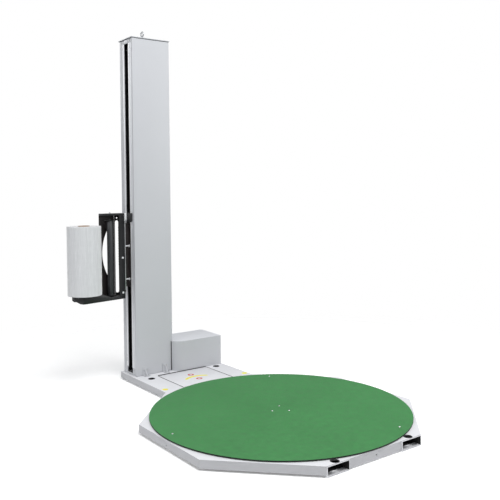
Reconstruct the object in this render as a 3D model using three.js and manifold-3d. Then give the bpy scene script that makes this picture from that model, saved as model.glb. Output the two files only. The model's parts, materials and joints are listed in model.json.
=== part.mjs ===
// Turntable pallet wrapper: a low turntable base, a tall mast with a lifting film carriage.
// Row frame: millimetres, +Z up, origin on the floor at the turntable's axis.
// +Y runs from the turntable to the column, +X is to the right seen from the turntable.
import * as THREE from "three";
import Module from "manifold-3d";
import { mergeVertices } from "three/addons/utils/BufferGeometryUtils.js";

const wasm = await Module();
wasm.setup();

// ---- driving dimensions ----
const GAP = 0.3;
const SHEET = 3;

const DISC_R = 825;
const DISC_TOP = 71;
const DISC_T = 8;
const DECK_TOP = 60;
const SKIRT_BOTTOM = 12;

const BASE_W = 830;
const BASE_FRONT = -822;
const FRONT_HALF = 367;
const SIDE_FRONT = -350;
const SIDE_BACK = 328;
const NECK_HALF = 377;
const NECK_FRONT = 798;
const NECK_BACK = 1506;
const DECK_OPENING_R = 752;

const POCKET_IN = 204;
const POCKET_OUT = 364;
const POCKET_WALL = 4;
const FRAME_TOP = DECK_TOP - SHEET - GAP;
const FRONT_LIP = 4;

const COL_LEFT = -355;
const COL_RIGHT = -45;
const COL_FRONT = 1280;
const COL_BACK = 1495;
const COL_TOP = 2610;
const COL_WALL = 4;
const SLOT_MID = 1386.5;
const SLOT_FRONT = 1347;
const SLOT_REAR = 1412;
const NOTCH_LOW = 74;
const SLOT_HIGH = 2577;

const COVER_RIGHT = 366;
const COVER_FRONT = 1208;
const COVER_BACK = 1501;
const COVER_TOP = 293;
const COVER_R = 90;

const ROLL_X = -731;
const ROLL_Y = 1340;
const ROLL_R = 123;
const FILM_LOW = 712;
const FILM_HIGH = 1212;
const CORE_R = 41;

const TRAY_TOP = 704;
const TRAY_LOW = 650;
const TRAY_LEFT = -814;
const TRAY_FRONT = 1296;
const ARM_FRONT = 1366;
const ARM_BACK = 1436;
const ARM_LEFT = -572;
const ARM_LIP = 14;
const BEARING_LEFT = -548;
const ARM_LOW = 1245;
const ARM_TOP = 1297;
const MAST_LEFT = -441;
const MAST_RIGHT = -396;

const IDLER_X = -502;
const IDLER_Y = 1394;
const IDLER_R = 23;

const SHAFT_X = 60;
const SHAFT_Y = 1360;
const HUB_R = 40;
const WHEEL_R = 22;
const WHEEL_RING = 700;
const CHAIN_R = 130;
const PINION_R = 40;
const CHAIN_LOW = 38;
const CHAIN_HIGH = 48;

const GUIDE_R = 28.2;
const GUIDE_X = -322.5;
const PULLEY_R = 22;
const PULLEY_X = -250;
const PULLEY_LOW = 180;
const PULLEY_HIGH = 2480;

const CAB_LEFT = -298;
const CAB_RIGHT = -62;
const CAB_LOW = 1050;
const CAB_HIGH = 1450;
const CAB_BACK = COL_BACK + 95;

// ---- solid helpers ----
function solid(geometry) {
  const bare = geometry.index ? geometry.toNonIndexed() : geometry.clone();
  bare.deleteAttribute("normal");
  bare.deleteAttribute("uv");
  const merged = mergeVertices(bare, 1e-4);
  return new wasm.Manifold(new wasm.Mesh({
    numProp: 3,
    vertProperties: new Float32Array(merged.attributes.position.array),
    triVerts: new Uint32Array(merged.index.array),
  }));
}

function block(x0, x1, y0, y1, z0, z1) {
  const shape = new THREE.BoxGeometry(x1 - x0, y1 - y0, z1 - z0);
  shape.translate((x0 + x1) / 2, (y0 + y1) / 2, (z0 + z1) / 2);
  return solid(shape);
}

function rod(radius, z0, z1, x, y, sides = 24) {
  const shape = new THREE.CylinderGeometry(radius, radius, z1 - z0, sides);
  shape.rotateX(Math.PI / 2);
  shape.translate(x, y, (z0 + z1) / 2);
  return solid(shape);
}

function rodX(radius, x0, x1, y, z, sides = 24) {
  const shape = new THREE.CylinderGeometry(radius, radius, x1 - x0, sides);
  shape.rotateZ(Math.PI / 2);
  shape.translate((x0 + x1) / 2, y, z);
  return solid(shape);
}

function rodY(radius, y0, y1, x, z, sides = 24) {
  const shape = new THREE.CylinderGeometry(radius, radius, y1 - y0, sides);
  shape.translate(x, (y0 + y1) / 2, z);
  return solid(shape);
}

function prism(points, z0, z1) {
  const shape = new THREE.Shape(points.map(([x, y]) => new THREE.Vector2(x, y)));
  const body = new THREE.ExtrudeGeometry(shape, { depth: z1 - z0, bevelEnabled: false });
  body.translate(0, 0, z0);
  return solid(body);
}

// A plate cut from a side view: points are (x, z), thickness runs from y0 to y1.
function sideplate(points, y0, y1) {
  const shape = new THREE.Shape(points.map(([x, z]) => new THREE.Vector2(x, z)));
  const body = new THREE.ExtrudeGeometry(shape, { depth: y1 - y0, bevelEnabled: false });
  body.rotateX(Math.PI / 2);
  body.translate(0, y1, 0);
  return solid(body);
}

function join(...parts) {
  return parts.reduce((whole, part) => whole.add(part));
}

function cut(body, ...tools) {
  return tools.reduce((left, tool) => left.subtract(tool), body);
}

function turned(body, degrees) {
  return body.rotate([0, 0, degrees]);
}

function mirrored(body) {
  return body.mirror([1, 0, 0]);
}

const group = new THREE.Group();
group.name = "pallet_wrapper";

const PAINT = {
  light: { color: 0xe6e8ec, roughness: 0.45, metalness: 0.1 },
  grey: { color: 0xc2c6cd, roughness: 0.45, metalness: 0.1 },
  skirt: { color: 0x9aa0a6, roughness: 0.5, metalness: 0.1 },
  green: { color: 0x52925e, roughness: 0.5, metalness: 0.1 },
  black: { color: 0x26282c, roughness: 0.5, metalness: 0.2 },
  steel: { color: 0xa9adb2, roughness: 0.35, metalness: 0.9 },
  rubber: { color: 0x1c1c1e, roughness: 0.8, metalness: 0 },
  film: { color: 0xe4e8ec, roughness: 0.25, metalness: 0 },
  card: { color: 0x9a7350, roughness: 0.9, metalness: 0 },
  motor: { color: 0x5a6672, roughness: 0.5, metalness: 0.3 },
  yellow: { color: 0xe3b71c, roughness: 0.5, metalness: 0 },
  red: { color: 0xb7221c, roughness: 0.4, metalness: 0 },
  greenButton: { color: 0x2a8a3c, roughness: 0.4, metalness: 0 },
  board: { color: 0xb9bcb4, roughness: 0.5, metalness: 0.3 },
};

function place(name, body, paint) {
  const data = body.getMesh();
  const geometry = new THREE.BufferGeometry();
  const position = new Float32Array((data.vertProperties.length / data.numProp) * 3);
  for (let i = 0; i < position.length / 3; i += 1) {
    for (let k = 0; k < 3; k += 1) {
      position[3 * i + k] = data.vertProperties[data.numProp * i + k];
    }
  }
  geometry.setAttribute("position", new THREE.BufferAttribute(position, 3));
  geometry.setIndex(new THREE.BufferAttribute(new Uint32Array(data.triVerts), 1));
  geometry.computeVertexNormals();
  const mesh = new THREE.Mesh(geometry, new THREE.MeshStandardMaterial(PAINT[paint]));
  mesh.name = name;
  group.add(mesh);
}

// ---- welded base: two fork pockets, a middle frame, an outrigger on each side ----
const POCKET_START = BASE_FRONT - FRONT_LIP;
const POCKET_END = NECK_BACK + FRONT_LIP;
const POCKET_ROOF = 2;
const CORNER_HOLE_R = 24;
const CORNER_HOLE_X = 284;
const CORNER_HOLE_Y = -797;
const NECK_HOLE_X = 290;
const NECK_HOLE_Y = 1166;
const BAR_LOW = 3;
const BAR_HIGH = 19;
const BAR_HALF = 25;
const BAR_ROWS = [-790, -600, -300, 300, 600, 770];
const DRIVE_BAR = [1215, 1255];
const REAR_BAR = [1450, 1490];
const HUB_BAR_HALF = 40;
const HUB_SEAT_R = 110;
const HUB_RECESS = 12;
const HUB_CLEARANCE = 6;
const FORK_LOW = 12;
const FORK_PLATE = 4;
const FORK_TOP = 52;
const STRIP_HALF = 30;
const CHEEK_IN = 14;
const CHEEK_OUT = 18;
const CHEEK_HALF = 20;
const AXLE_Z = DISC_TOP - DISC_T - GAP - WHEEL_R;
const AXLE_R = 6;
const AXLE_HALF = 22;
const WHEEL_HALF = 12;
const LAP = 1;
const SPINE_HALF = 20;
const SPINE_T = 6;
const RAIL_T = 12;
const OUTRIGGER_HALF = 430;
const RIB_ROWS = [-330, 305];
const RIB_HALF = 3;

function pocket(side) {
  const x0 = side < 0 ? -POCKET_OUT : POCKET_IN;
  const x1 = side < 0 ? -POCKET_IN : POCKET_OUT;
  const outer = block(x0, x1, POCKET_START, POCKET_END, 0, FRAME_TOP);
  const inner = block(x0 + POCKET_WALL, x1 - POCKET_WALL, POCKET_START - 1, POCKET_END + 1,
    POCKET_WALL, FRAME_TOP - POCKET_ROOF);
  return cut(outer, inner,
    rod(CORNER_HOLE_R, FRAME_TOP - POCKET_ROOF - 1, FRAME_TOP + 1, side * CORNER_HOLE_X,
      CORNER_HOLE_Y, 20),
    rod(CORNER_HOLE_R, FRAME_TOP - POCKET_ROOF - 1, FRAME_TOP + 1, side * NECK_HOLE_X,
      NECK_HOLE_Y, 20));
}
place("fork_pocket_left", pocket(-1), "grey");
place("fork_pocket_right", pocket(1), "grey");

function wheelFork(degrees, inner, outer) {
  const strip = block(inner, outer, -STRIP_HALF, STRIP_HALF, FORK_LOW, FORK_LOW + FORK_PLATE);
  const near = block(WHEEL_RING - CHEEK_OUT, WHEEL_RING - CHEEK_IN, -CHEEK_HALF, CHEEK_HALF,
    FORK_LOW, FORK_TOP);
  const far = block(WHEEL_RING + CHEEK_IN, WHEEL_RING + CHEEK_OUT, -CHEEK_HALF, CHEEK_HALF,
    FORK_LOW, FORK_TOP);
  const axle = rodX(AXLE_R, WHEEL_RING - AXLE_HALF, WHEEL_RING + AXLE_HALF, 0, AXLE_Z, 16);
  return turned(join(strip, near, far, axle), degrees);
}

const WHEEL_ANGLES = [0, 45, 90, 135, 180, 225, 270, 315];
const RIB_INSET = 2;
const SIDE_STRIP = [POCKET_OUT + RIB_INSET, 812];
const CORNER_STRIP = [548, 800];
const MIDDLE_STRIP = [585, 780];

function crossBar(low, high, top) {
  return block(-POCKET_IN + GAP, POCKET_IN - GAP, low, high, BAR_LOW, top);
}

function buildFrame() {
  const rows = BAR_ROWS.map((y) => crossBar(y - BAR_HALF, y + BAR_HALF, BAR_HIGH));
  const hubSeat = cut(rod(HUB_SEAT_R, 0, BAR_HIGH, 0, 0, 48),
    rod(HUB_R + HUB_CLEARANCE, HUB_RECESS, BAR_HIGH + 1, 0, 0, 48));
  const hubBar = cut(crossBar(-HUB_BAR_HALF, HUB_BAR_HALF, BAR_HIGH),
    rod(HUB_SEAT_R - 1, 0, BAR_HIGH + 1, 0, 0, 48));
  const spine = block(-SPINE_HALF, SPINE_HALF, BAR_ROWS[0], REAR_BAR[1], BAR_LOW, BAR_LOW + SPINE_T);
  return join(...rows, crossBar(...DRIVE_BAR, BAR_HIGH), crossBar(...REAR_BAR, FRAME_TOP),
    cut(spine, rod(HUB_SEAT_R - 1, 0, BAR_HIGH + 1, 0, 0, 48)), hubBar, hubSeat,
    wheelFork(90, ...MIDDLE_STRIP), wheelFork(270, ...MIDDLE_STRIP));
}
place("base_frame", buildFrame(), "grey");

// A rail along the pocket's outer wall carries three wheel forks and two ribs.
function outrigger(side) {
  const reach = BASE_W - SHEET - GAP;
  const rail = block(POCKET_OUT + GAP, POCKET_OUT + GAP + RAIL_T, -OUTRIGGER_HALF, OUTRIGGER_HALF,
    SKIRT_BOTTOM, FRAME_TOP);
  const ribs = RIB_ROWS.map((y) => block(POCKET_OUT + RIB_INSET, reach, y - RIB_HALF, y + RIB_HALF,
    SKIRT_BOTTOM, FRAME_TOP));
  const right = join(rail, ...ribs, wheelFork(0, ...SIDE_STRIP), wheelFork(45, ...CORNER_STRIP),
    wheelFork(-45, ...CORNER_STRIP));
  return side < 0 ? mirrored(right) : right;
}
place("outrigger_left", outrigger(-1), "grey");
place("outrigger_right", outrigger(1), "grey");

// ---- octagonal deck with folded skirts ----
const MITRE = Math.tan(Math.PI / 8);
function octagon(inset) {
  const w = BASE_W - inset;
  const f = BASE_FRONT + inset;
  const diagonal = inset * MITRE;
  const half = [
    [FRONT_HALF - diagonal, f],
    [w, SIDE_FRONT + diagonal],
    [w, SIDE_BACK - diagonal],
    [NECK_HALF - (inset > 0 ? inset : 0), NECK_FRONT - (inset > 0 ? diagonal : 0)],
  ];
  const left = half.map(([x, y]) => [-x, y]).reverse();
  return [...half, ...left];
}

const RIM_HOLE_R = 4;
const RIM_HOLE_Z = 32;
const SIDE_HOLE_Y = -6;
const FRONT_HOLE_X = 2;
const REAR_INSET = 2;
const REAR_DEPTH = 30;
function buildDeck() {
  const plate = prism(octagon(0), DECK_TOP - SHEET, DECK_TOP);
  const outer = prism(octagon(0), SKIRT_BOTTOM, DECK_TOP - SHEET + 0.5);
  const inner = prism(octagon(SHEET), SKIRT_BOTTOM - 1, DECK_TOP);
  const rear = block(-NECK_HALF + REAR_INSET, NECK_HALF - REAR_INSET, NECK_FRONT - REAR_DEPTH,
    NECK_FRONT + SHEET, SKIRT_BOTTOM - 1, DECK_TOP - SHEET);
  let deck = join(plate, cut(outer, inner, rear));
  deck = deck.subtract(rod(DECK_OPENING_R, DECK_TOP - SHEET - 1, DECK_TOP + 1, 0, 0, 96));
  for (const side of [-1, 1]) {
    const x0 = side < 0 ? -POCKET_OUT : POCKET_IN;
    deck = deck.subtract(block(x0 - GAP, x0 + POCKET_OUT - POCKET_IN + GAP,
      BASE_FRONT - 5, BASE_FRONT + 5, SKIRT_BOTTOM - 1, DECK_TOP - SHEET));
    deck = deck.subtract(rod(CORNER_HOLE_R, DECK_TOP - SHEET - 1, DECK_TOP + 1,
      side * CORNER_HOLE_X, CORNER_HOLE_Y, 20));
    const middle = side * BASE_W;
    deck = deck.subtract(rodX(RIM_HOLE_R, middle - 2 * SHEET, middle + 2 * SHEET, SIDE_HOLE_Y,
      RIM_HOLE_Z, 12));
  }
  return deck.subtract(rodY(RIM_HOLE_R, BASE_FRONT - 2 * SHEET, BASE_FRONT + 2 * SHEET,
    FRONT_HOLE_X, RIM_HOLE_Z, 12));
}
place("base_deck", buildDeck(), "light");

// ---- neck deck under the column, with its lift-out cover plate ----
const PLATE_HALF = 217;
const PLATE_FRONT = 812;
const PLATE_BACK = 1200;
const PLATE_GAP = 3;
const SHAFT_HOLE_R = 24;
function buildNeck() {
  const y0 = NECK_FRONT + GAP;
  const outer = block(-NECK_HALF, NECK_HALF, y0, NECK_BACK, SKIRT_BOTTOM, DECK_TOP);
  const inner = block(-NECK_HALF + SHEET, NECK_HALF - SHEET, y0 - 5, NECK_BACK - SHEET,
    SKIRT_BOTTOM - 1, DECK_TOP - SHEET);
  let neck = cut(outer, inner);
  neck = neck.subtract(block(-PLATE_HALF, PLATE_HALF, PLATE_FRONT, PLATE_BACK,
    DECK_TOP - SHEET - 1, DECK_TOP + 1));
  for (const side of [-1, 1]) {
    const x0 = side < 0 ? -POCKET_OUT : POCKET_IN;
    neck = neck.subtract(block(x0 - GAP, x0 + POCKET_OUT - POCKET_IN + GAP,
      NECK_BACK - 5, NECK_BACK + 5, SKIRT_BOTTOM - 1, DECK_TOP - SHEET));
    neck = neck.subtract(rod(CORNER_HOLE_R, DECK_TOP - SHEET - 1, DECK_TOP + 1,
      side * NECK_HOLE_X, NECK_HOLE_Y, 20));
  }
  return neck.subtract(rod(SHAFT_HOLE_R, DECK_TOP - SHEET - 1, DECK_TOP + 1, SHAFT_X, SHAFT_Y, 24));
}
place("neck_deck", buildNeck(), "light");
place("neck_cover_plate", block(-PLATE_HALF + PLATE_GAP, PLATE_HALF - PLATE_GAP,
  PLATE_FRONT + PLATE_GAP, PLATE_BACK - PLATE_GAP, DECK_TOP - SHEET, DECK_TOP), "light");

// ---- turntable: disc, hub, chain wheel and screws ----
place("turntable_disc", rod(DISC_R, DISC_TOP - DISC_T, DISC_TOP, 0, 0, 96), "green");

const HUB_FLANGE_LOW = 50;
const HUB_FLANGE_R = 90;
const BEARING_R = 88;
function buildHub() {
  const shaft = rod(HUB_R, HUB_RECESS + GAP, HUB_FLANGE_LOW + 1, 0, 0, 32);
  const flange = rod(HUB_FLANGE_R, HUB_FLANGE_LOW - 1, DISC_TOP - DISC_T - GAP, 0, 0, 32);
  const wheel = rod(CHAIN_R, CHAIN_LOW + 1, HUB_FLANGE_LOW, 0, 0, 48);
  return join(shaft, flange, wheel);
}
place("turntable_hub", buildHub(), "steel");
place("hub_bearing", cut(rod(BEARING_R, BAR_HIGH + GAP, CHAIN_LOW + 1 - GAP, 0, 0, 48),
  rod(HUB_R + GAP, 0, DECK_TOP, 0, 0, 32)), "steel");

// ---- support wheels under the disc ----
for (const degrees of WHEEL_ANGLES) {
  const tyre = cut(rodX(WHEEL_R, WHEEL_RING - WHEEL_HALF, WHEEL_RING + WHEEL_HALF, 0, AXLE_Z, 24),
    rodX(AXLE_R + GAP, WHEEL_RING - 30, WHEEL_RING + 30, 0, AXLE_Z, 16));
  place(`support_wheel_${WHEEL_ANGLES.indexOf(degrees) + 1}`, turned(tyre, degrees), "rubber");
}

// ---- turntable drive: gearmotor, sprocket on its shaft, chain ----
const GEARBOX_TOP = 150;
const GEARBOX_HALF = 55;
const TABLE_MOTOR_R = 50;
const TABLE_MOTOR_Z = 112;
const TABLE_MOTOR_END = 250;
const TERMINAL_START = 120;
const TERMINAL_END = 190;
const TERMINAL_HALF = 35;
const TERMINAL_TOP = 185;
const SPROCKET_SHAFT_R = 12;
const BORE_CLOSED = 30;
const SPROCKET_LOW = 34;
function buildTableMotor() {
  const box = block(SHAFT_X - GEARBOX_HALF, SHAFT_X + GEARBOX_HALF, SHAFT_Y - GEARBOX_HALF,
    SHAFT_Y + GEARBOX_HALF, DECK_TOP + GAP, GEARBOX_TOP);
  const motor = rodX(TABLE_MOTOR_R, SHAFT_X + GEARBOX_HALF - LAP, SHAFT_X + TABLE_MOTOR_END,
    SHAFT_Y, TABLE_MOTOR_Z, 24);
  const terminal = block(SHAFT_X + TERMINAL_START, SHAFT_X + TERMINAL_END,
    SHAFT_Y - TERMINAL_HALF, SHAFT_Y + TERMINAL_HALF, GEARBOX_TOP, TERMINAL_TOP);
  const bore = rod(SPROCKET_SHAFT_R + GAP, DECK_TOP - 1, GEARBOX_TOP - BORE_CLOSED,
    SHAFT_X, SHAFT_Y, 16);
  return cut(join(box, motor, terminal), bore);
}
place("turntable_gearmotor", buildTableMotor(), "motor");
place("drive_sprocket", join(
  rod(PINION_R, CHAIN_LOW + 1, CHAIN_HIGH - 1, SHAFT_X, SHAFT_Y, 24),
  rod(SPROCKET_SHAFT_R, SPROCKET_LOW, GEARBOX_TOP - BORE_CLOSED - 2, SHAFT_X, SHAFT_Y, 16),
), "steel");

// Outline of a band around two wheels: the hull of two circles.
function twoCircleHull(r0, r1, ax, ay, bx, by, sides) {
  const length = Math.hypot(bx - ax, by - ay);
  const heading = Math.atan2(by - ay, bx - ax);
  const lean = Math.acos((r0 - r1) / length);
  const points = [];
  const half = Math.round(sides / 2);
  for (let i = 0; i <= half; i += 1) {
    const angle = heading + lean + ((2 * Math.PI - 2 * lean) * i) / half;
    points.push([ax + r0 * Math.cos(angle), ay + r0 * Math.sin(angle)]);
  }
  for (let i = 0; i <= half; i += 1) {
    const angle = heading - lean + (2 * lean * i) / half;
    points.push([bx + r1 * Math.cos(angle), by + r1 * Math.sin(angle)]);
  }
  return points;
}

const CHAIN_T = 8;
const outerChain = twoCircleHull(CHAIN_R + 1 + CHAIN_T, PINION_R + 1 + CHAIN_T,
  0, 0, SHAFT_X, SHAFT_Y, 48);
const innerChain = twoCircleHull(CHAIN_R + 1, PINION_R + 1, 0, 0, SHAFT_X, SHAFT_Y, 48);
place("turntable_chain", cut(prism(outerChain, CHAIN_LOW, CHAIN_HIGH),
  prism(innerChain, CHAIN_LOW - 1, CHAIN_HIGH + 1)), "steel");

// ---- motor cover beside the column ----
const COVER_BEND_X = 35;
const COVER_SHEET = 2;
const COVER_CLEARANCE = 2.5;
function coverOutline(inset) {
  const radius = COVER_R - inset;
  const cx = COVER_BEND_X;
  const cy = COVER_FRONT + COVER_R;
  const columnFace = COL_FRONT - COVER_CLEARANCE;
  const columnSide = COL_RIGHT + COVER_CLEARANCE;
  const points = [
    [COVER_RIGHT - inset, COVER_FRONT + inset],
    [COVER_RIGHT - inset, COVER_BACK - inset],
    [columnSide + inset, COVER_BACK - inset],
    [columnSide + inset, columnFace - inset],
  ];
  const reach = cy - columnFace + inset;
  const start = Math.PI + Math.asin(reach / radius);
  for (let i = 0; i <= 8; i += 1) {
    const angle = start + ((1.5 * Math.PI - start) * i) / 8;
    points.push([cx + radius * Math.cos(angle), cy + radius * Math.sin(angle)]);
  }
  return points;
}
place("motor_cover", cut(prism(coverOutline(0), DECK_TOP + GAP, COVER_TOP),
  prism(coverOutline(COVER_SHEET), DECK_TOP - 1, COVER_TOP - COVER_SHEET)), "grey");

// ---- column: slotted profile, front panel, cap, eye bolt, foot brackets ----
const FOOT_Z = DECK_TOP + GAP;
const LIP_INNER = COL_LEFT + COL_WALL;
function buildColumn() {
  return join(
    block(LIP_INNER + GAP, COL_RIGHT, COL_FRONT, COL_FRONT + COL_WALL, FOOT_Z, COL_TOP),
    block(LIP_INNER + GAP, COL_RIGHT, COL_BACK - COL_WALL, COL_BACK, FOOT_Z, COL_TOP),
    block(COL_RIGHT - COL_WALL, COL_RIGHT, COL_FRONT, COL_BACK, FOOT_Z, COL_TOP),
  );
}
place("column_profile", buildColumn(), "grey");
place("column_lip_front", block(COL_LEFT, LIP_INNER, COL_FRONT, SLOT_FRONT, FOOT_Z,
  COL_TOP), "grey");
place("column_lip_rear", block(COL_LEFT, LIP_INNER, SLOT_REAR, COL_BACK, FOOT_Z,
  COL_TOP), "grey");
place("column_slot_head", block(COL_LEFT, LIP_INNER, SLOT_FRONT + GAP, SLOT_REAR - GAP,
  SLOT_HIGH, COL_TOP), "grey");
place("column_slot_foot", block(COL_LEFT, LIP_INNER, SLOT_FRONT + GAP, SLOT_REAR - GAP,
  FOOT_Z, NOTCH_LOW), "grey");

const PANEL_REACH = 1.8;
const PANEL_FRONT = COL_FRONT - PANEL_REACH;
const PANEL_T = 1.5;
const PANEL_LIP = 3;
const PANEL_END = 4;
place("column_front_panel", join(
  block(COL_LEFT - PANEL_REACH, COL_RIGHT + PANEL_REACH, PANEL_FRONT, PANEL_FRONT + PANEL_T,
    DECK_TOP + PANEL_END, COL_TOP - PANEL_END),
  block(COL_LEFT - PANEL_REACH, COL_LEFT - GAP, PANEL_FRONT, COL_FRONT + PANEL_LIP,
    DECK_TOP + PANEL_END, COL_TOP - PANEL_END),
  block(COL_RIGHT + GAP, COL_RIGHT + PANEL_REACH, PANEL_FRONT, COL_FRONT + PANEL_LIP,
    DECK_TOP + PANEL_END, COL_TOP - PANEL_END),
), "grey");

const EYE_X = -214;
const CAP_T = 6;
const CAP_OVER = 6;
const CAP_FRONT = 7;
const CAP_TOP = COL_TOP + GAP + CAP_T;
const EYE_SHANK_R = 6;
const EYE_RING_R = 19;
const EYE_BAR_R = 5.5;
const EYE_RISE = 48;
place("column_cap", cut(
  block(COL_LEFT - CAP_OVER, COL_RIGHT + CAP_OVER, COL_FRONT - CAP_FRONT, COL_BACK + CAP_OVER,
    COL_TOP + GAP, CAP_TOP),
  rod(EYE_SHANK_R + GAP, COL_TOP - 5, CAP_TOP + 5, EYE_X, SLOT_MID, 16),
), "grey");

function buildEye() {
  const ring = new THREE.TorusGeometry(EYE_RING_R, EYE_BAR_R, 6, 20);
  ring.rotateY(Math.PI / 2);
  ring.translate(EYE_X, SLOT_MID, CAP_TOP + EYE_RISE);
  const collar = rod(15, CAP_TOP + GAP, CAP_TOP + 10, EYE_X, SLOT_MID, 20);
  const neck = rod(8, CAP_TOP + 8, CAP_TOP + 30, EYE_X, SLOT_MID, 16);
  const shank = rod(EYE_SHANK_R, CAP_TOP - 28, CAP_TOP + 2, EYE_X, SLOT_MID, 16);
  return join(solid(ring), collar, neck, shank);
}
place("eye_bolt", buildEye(), "steel");

const FOOT_HALF = 20;
const FOOT_DEPTH = 46;
const FOOT_T = 5;
const GUSSET_HALF = 3;
function footBracket(x, height) {
  const face = PANEL_FRONT - GAP;
  const z0 = DECK_TOP + GAP;
  const foot = block(x - FOOT_HALF, x + FOOT_HALF, face - FOOT_DEPTH, face, z0, z0 + FOOT_T);
  const back = block(x - FOOT_HALF, x + FOOT_HALF, face - FOOT_T, face, z0, z0 + height);
  const tip = face - FOOT_DEPTH + 2;
  const wedge = new THREE.Shape([
    new THREE.Vector2(face - 1, z0 + 1),
    new THREE.Vector2(tip, z0 + 1),
    new THREE.Vector2(tip, z0 + FOOT_T + 3),
    new THREE.Vector2(face - 1, z0 + height - 2),
  ]);
  const web = new THREE.ExtrudeGeometry(wedge, { depth: 2 * GUSSET_HALF, bevelEnabled: false });
  web.applyMatrix4(new THREE.Matrix4().set(
    0, 0, 1, x - GUSSET_HALF,
    1, 0, 0, 0,
    0, 1, 0, 0,
    0, 0, 0, 1,
  ));
  return join(foot, back, solid(web));
}
const FOOT_LEFT = [-284, 56];
const FOOT_RIGHT = [-112, 66];
place("foot_bracket_left", footBracket(...FOOT_LEFT), "grey");
place("foot_bracket_right", footBracket(...FOOT_RIGHT), "grey");

// ---- guide rails that trap the carriage's wheels inside the column ----
const RAIL_X = GUIDE_X + GUIDE_R + GAP;
const RAIL_LOW = 80;
const RAIL_TOP = PULLEY_HIGH + 40;
const RAIL_THICK = 8;
const RAIL_FRONT_EDGE = 1352;
const RAIL_REAR_EDGE = 1421;
place("guide_rail_front", block(RAIL_X, RAIL_X + RAIL_THICK, COL_FRONT + COL_WALL + GAP,
  RAIL_FRONT_EDGE, RAIL_LOW, RAIL_TOP), "steel");
place("guide_rail_rear", block(RAIL_X, RAIL_X + RAIL_THICK, RAIL_REAR_EDGE,
  COL_BACK - COL_WALL - GAP, RAIL_LOW, RAIL_TOP), "steel");

// ---- lift drive inside the column ----
const LIFT_X = PULLEY_X + 66;
const PEDESTAL_HALF = 36;
const LIFT_BOX_HALF = [44, 46, 50];
const LIFT_MOTOR_R = 50;
const LIFT_MOTOR_TOP = PULLEY_LOW + 250;
const PULLEY_SHAFT_R = 8;
function buildLiftMotor() {
  const [bx, by, bz] = LIFT_BOX_HALF;
  const pedestal = block(LIFT_X - PEDESTAL_HALF, LIFT_X + PEDESTAL_HALF,
    SLOT_MID - PEDESTAL_HALF, SLOT_MID + PEDESTAL_HALF, DECK_TOP + GAP, PULLEY_LOW - bz + LAP);
  const box = block(LIFT_X - bx, LIFT_X + bx, SLOT_MID - by, SLOT_MID + by,
    PULLEY_LOW - bz, PULLEY_LOW + bz);
  const motor = rod(LIFT_MOTOR_R, PULLEY_LOW + bz - LAP, LIFT_MOTOR_TOP, LIFT_X, SLOT_MID, 24);
  const bore = rodX(PULLEY_SHAFT_R + GAP, LIFT_X - bx - 6, LIFT_X - 8, SLOT_MID, PULLEY_LOW, 16);
  return cut(join(pedestal, box, motor), bore);
}
place("lift_gearmotor", buildLiftMotor(), "motor");

const PULLEY_HALF = 13;
const FLANGE_HALF = 15;
const FLANGE_R = PULLEY_R + 5;
function pulley(z) {
  return join(
    rodX(PULLEY_R, PULLEY_X - PULLEY_HALF, PULLEY_X + PULLEY_HALF, SLOT_MID, z, 24),
    rodX(FLANGE_R, PULLEY_X - FLANGE_HALF, PULLEY_X - PULLEY_HALF, SLOT_MID, z, 24),
    rodX(FLANGE_R, PULLEY_X + PULLEY_HALF, PULLEY_X + FLANGE_HALF, SLOT_MID, z, 24),
  );
}
place("lift_pulley_bottom", join(pulley(PULLEY_LOW),
  rodX(PULLEY_SHAFT_R, PULLEY_X + 10, LIFT_X - 12, SLOT_MID, PULLEY_LOW, 16)), "steel");
place("lift_pulley_top", cut(pulley(PULLEY_HIGH),
  rodX(PULLEY_SHAFT_R + GAP, PULLEY_X - 30, PULLEY_X + 30, SLOT_MID, PULLEY_HIGH, 16)), "steel");

const BRACKET_TOP = PULLEY_HIGH + 58;
const BRACKET_T = 8;
const EAR_IN = 17;
const EAR_OUT = 21;
const EAR_HALF = 18;
const EAR_LOW = PULLEY_HIGH - 20;
function buildPulleyBracket() {
  return join(
    block(PULLEY_X - 30, PULLEY_X + 50, COL_FRONT + COL_WALL + GAP, COL_BACK - COL_WALL - GAP,
      BRACKET_TOP - BRACKET_T, BRACKET_TOP),
    block(PULLEY_X - EAR_OUT, PULLEY_X - EAR_IN, SLOT_MID - EAR_HALF, SLOT_MID + EAR_HALF,
      EAR_LOW, BRACKET_TOP - 4),
    block(PULLEY_X + EAR_IN, PULLEY_X + EAR_OUT, SLOT_MID - EAR_HALF, SLOT_MID + EAR_HALF,
      EAR_LOW, BRACKET_TOP - 4),
    rodX(PULLEY_SHAFT_R, PULLEY_X - EAR_OUT + LAP, PULLEY_X + EAR_OUT - LAP, SLOT_MID,
      PULLEY_HIGH, 16),
  );
}
place("top_pulley_bracket", buildPulleyBracket(), "steel");

const BELT_T = 3;
const BELT_HALF = 11;
const CUT_HALF = 20;
function buildBelt() {
  const half = (radius, z0, z1) => join(
    block(PULLEY_X - BELT_HALF, PULLEY_X + BELT_HALF, SLOT_MID - radius, SLOT_MID + radius, z0, z1),
    rodX(radius, PULLEY_X - BELT_HALF, PULLEY_X + BELT_HALF, SLOT_MID, z0, 24),
    rodX(radius, PULLEY_X - BELT_HALF, PULLEY_X + BELT_HALF, SLOT_MID, z1, 24),
  );
  const inner = join(
    block(PULLEY_X - CUT_HALF, PULLEY_X + CUT_HALF, SLOT_MID - PULLEY_R - GAP, SLOT_MID + PULLEY_R + GAP,
      PULLEY_LOW, PULLEY_HIGH),
    rodX(PULLEY_R + GAP, PULLEY_X - CUT_HALF, PULLEY_X + CUT_HALF, SLOT_MID, PULLEY_LOW, 24),
    rodX(PULLEY_R + GAP, PULLEY_X - CUT_HALF, PULLEY_X + CUT_HALF, SLOT_MID, PULLEY_HIGH, 24),
  );
  return cut(half(PULLEY_R + GAP + BELT_T, PULLEY_LOW, PULLEY_HIGH), inner);
}
place("lift_belt", buildBelt(), "rubber");

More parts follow.
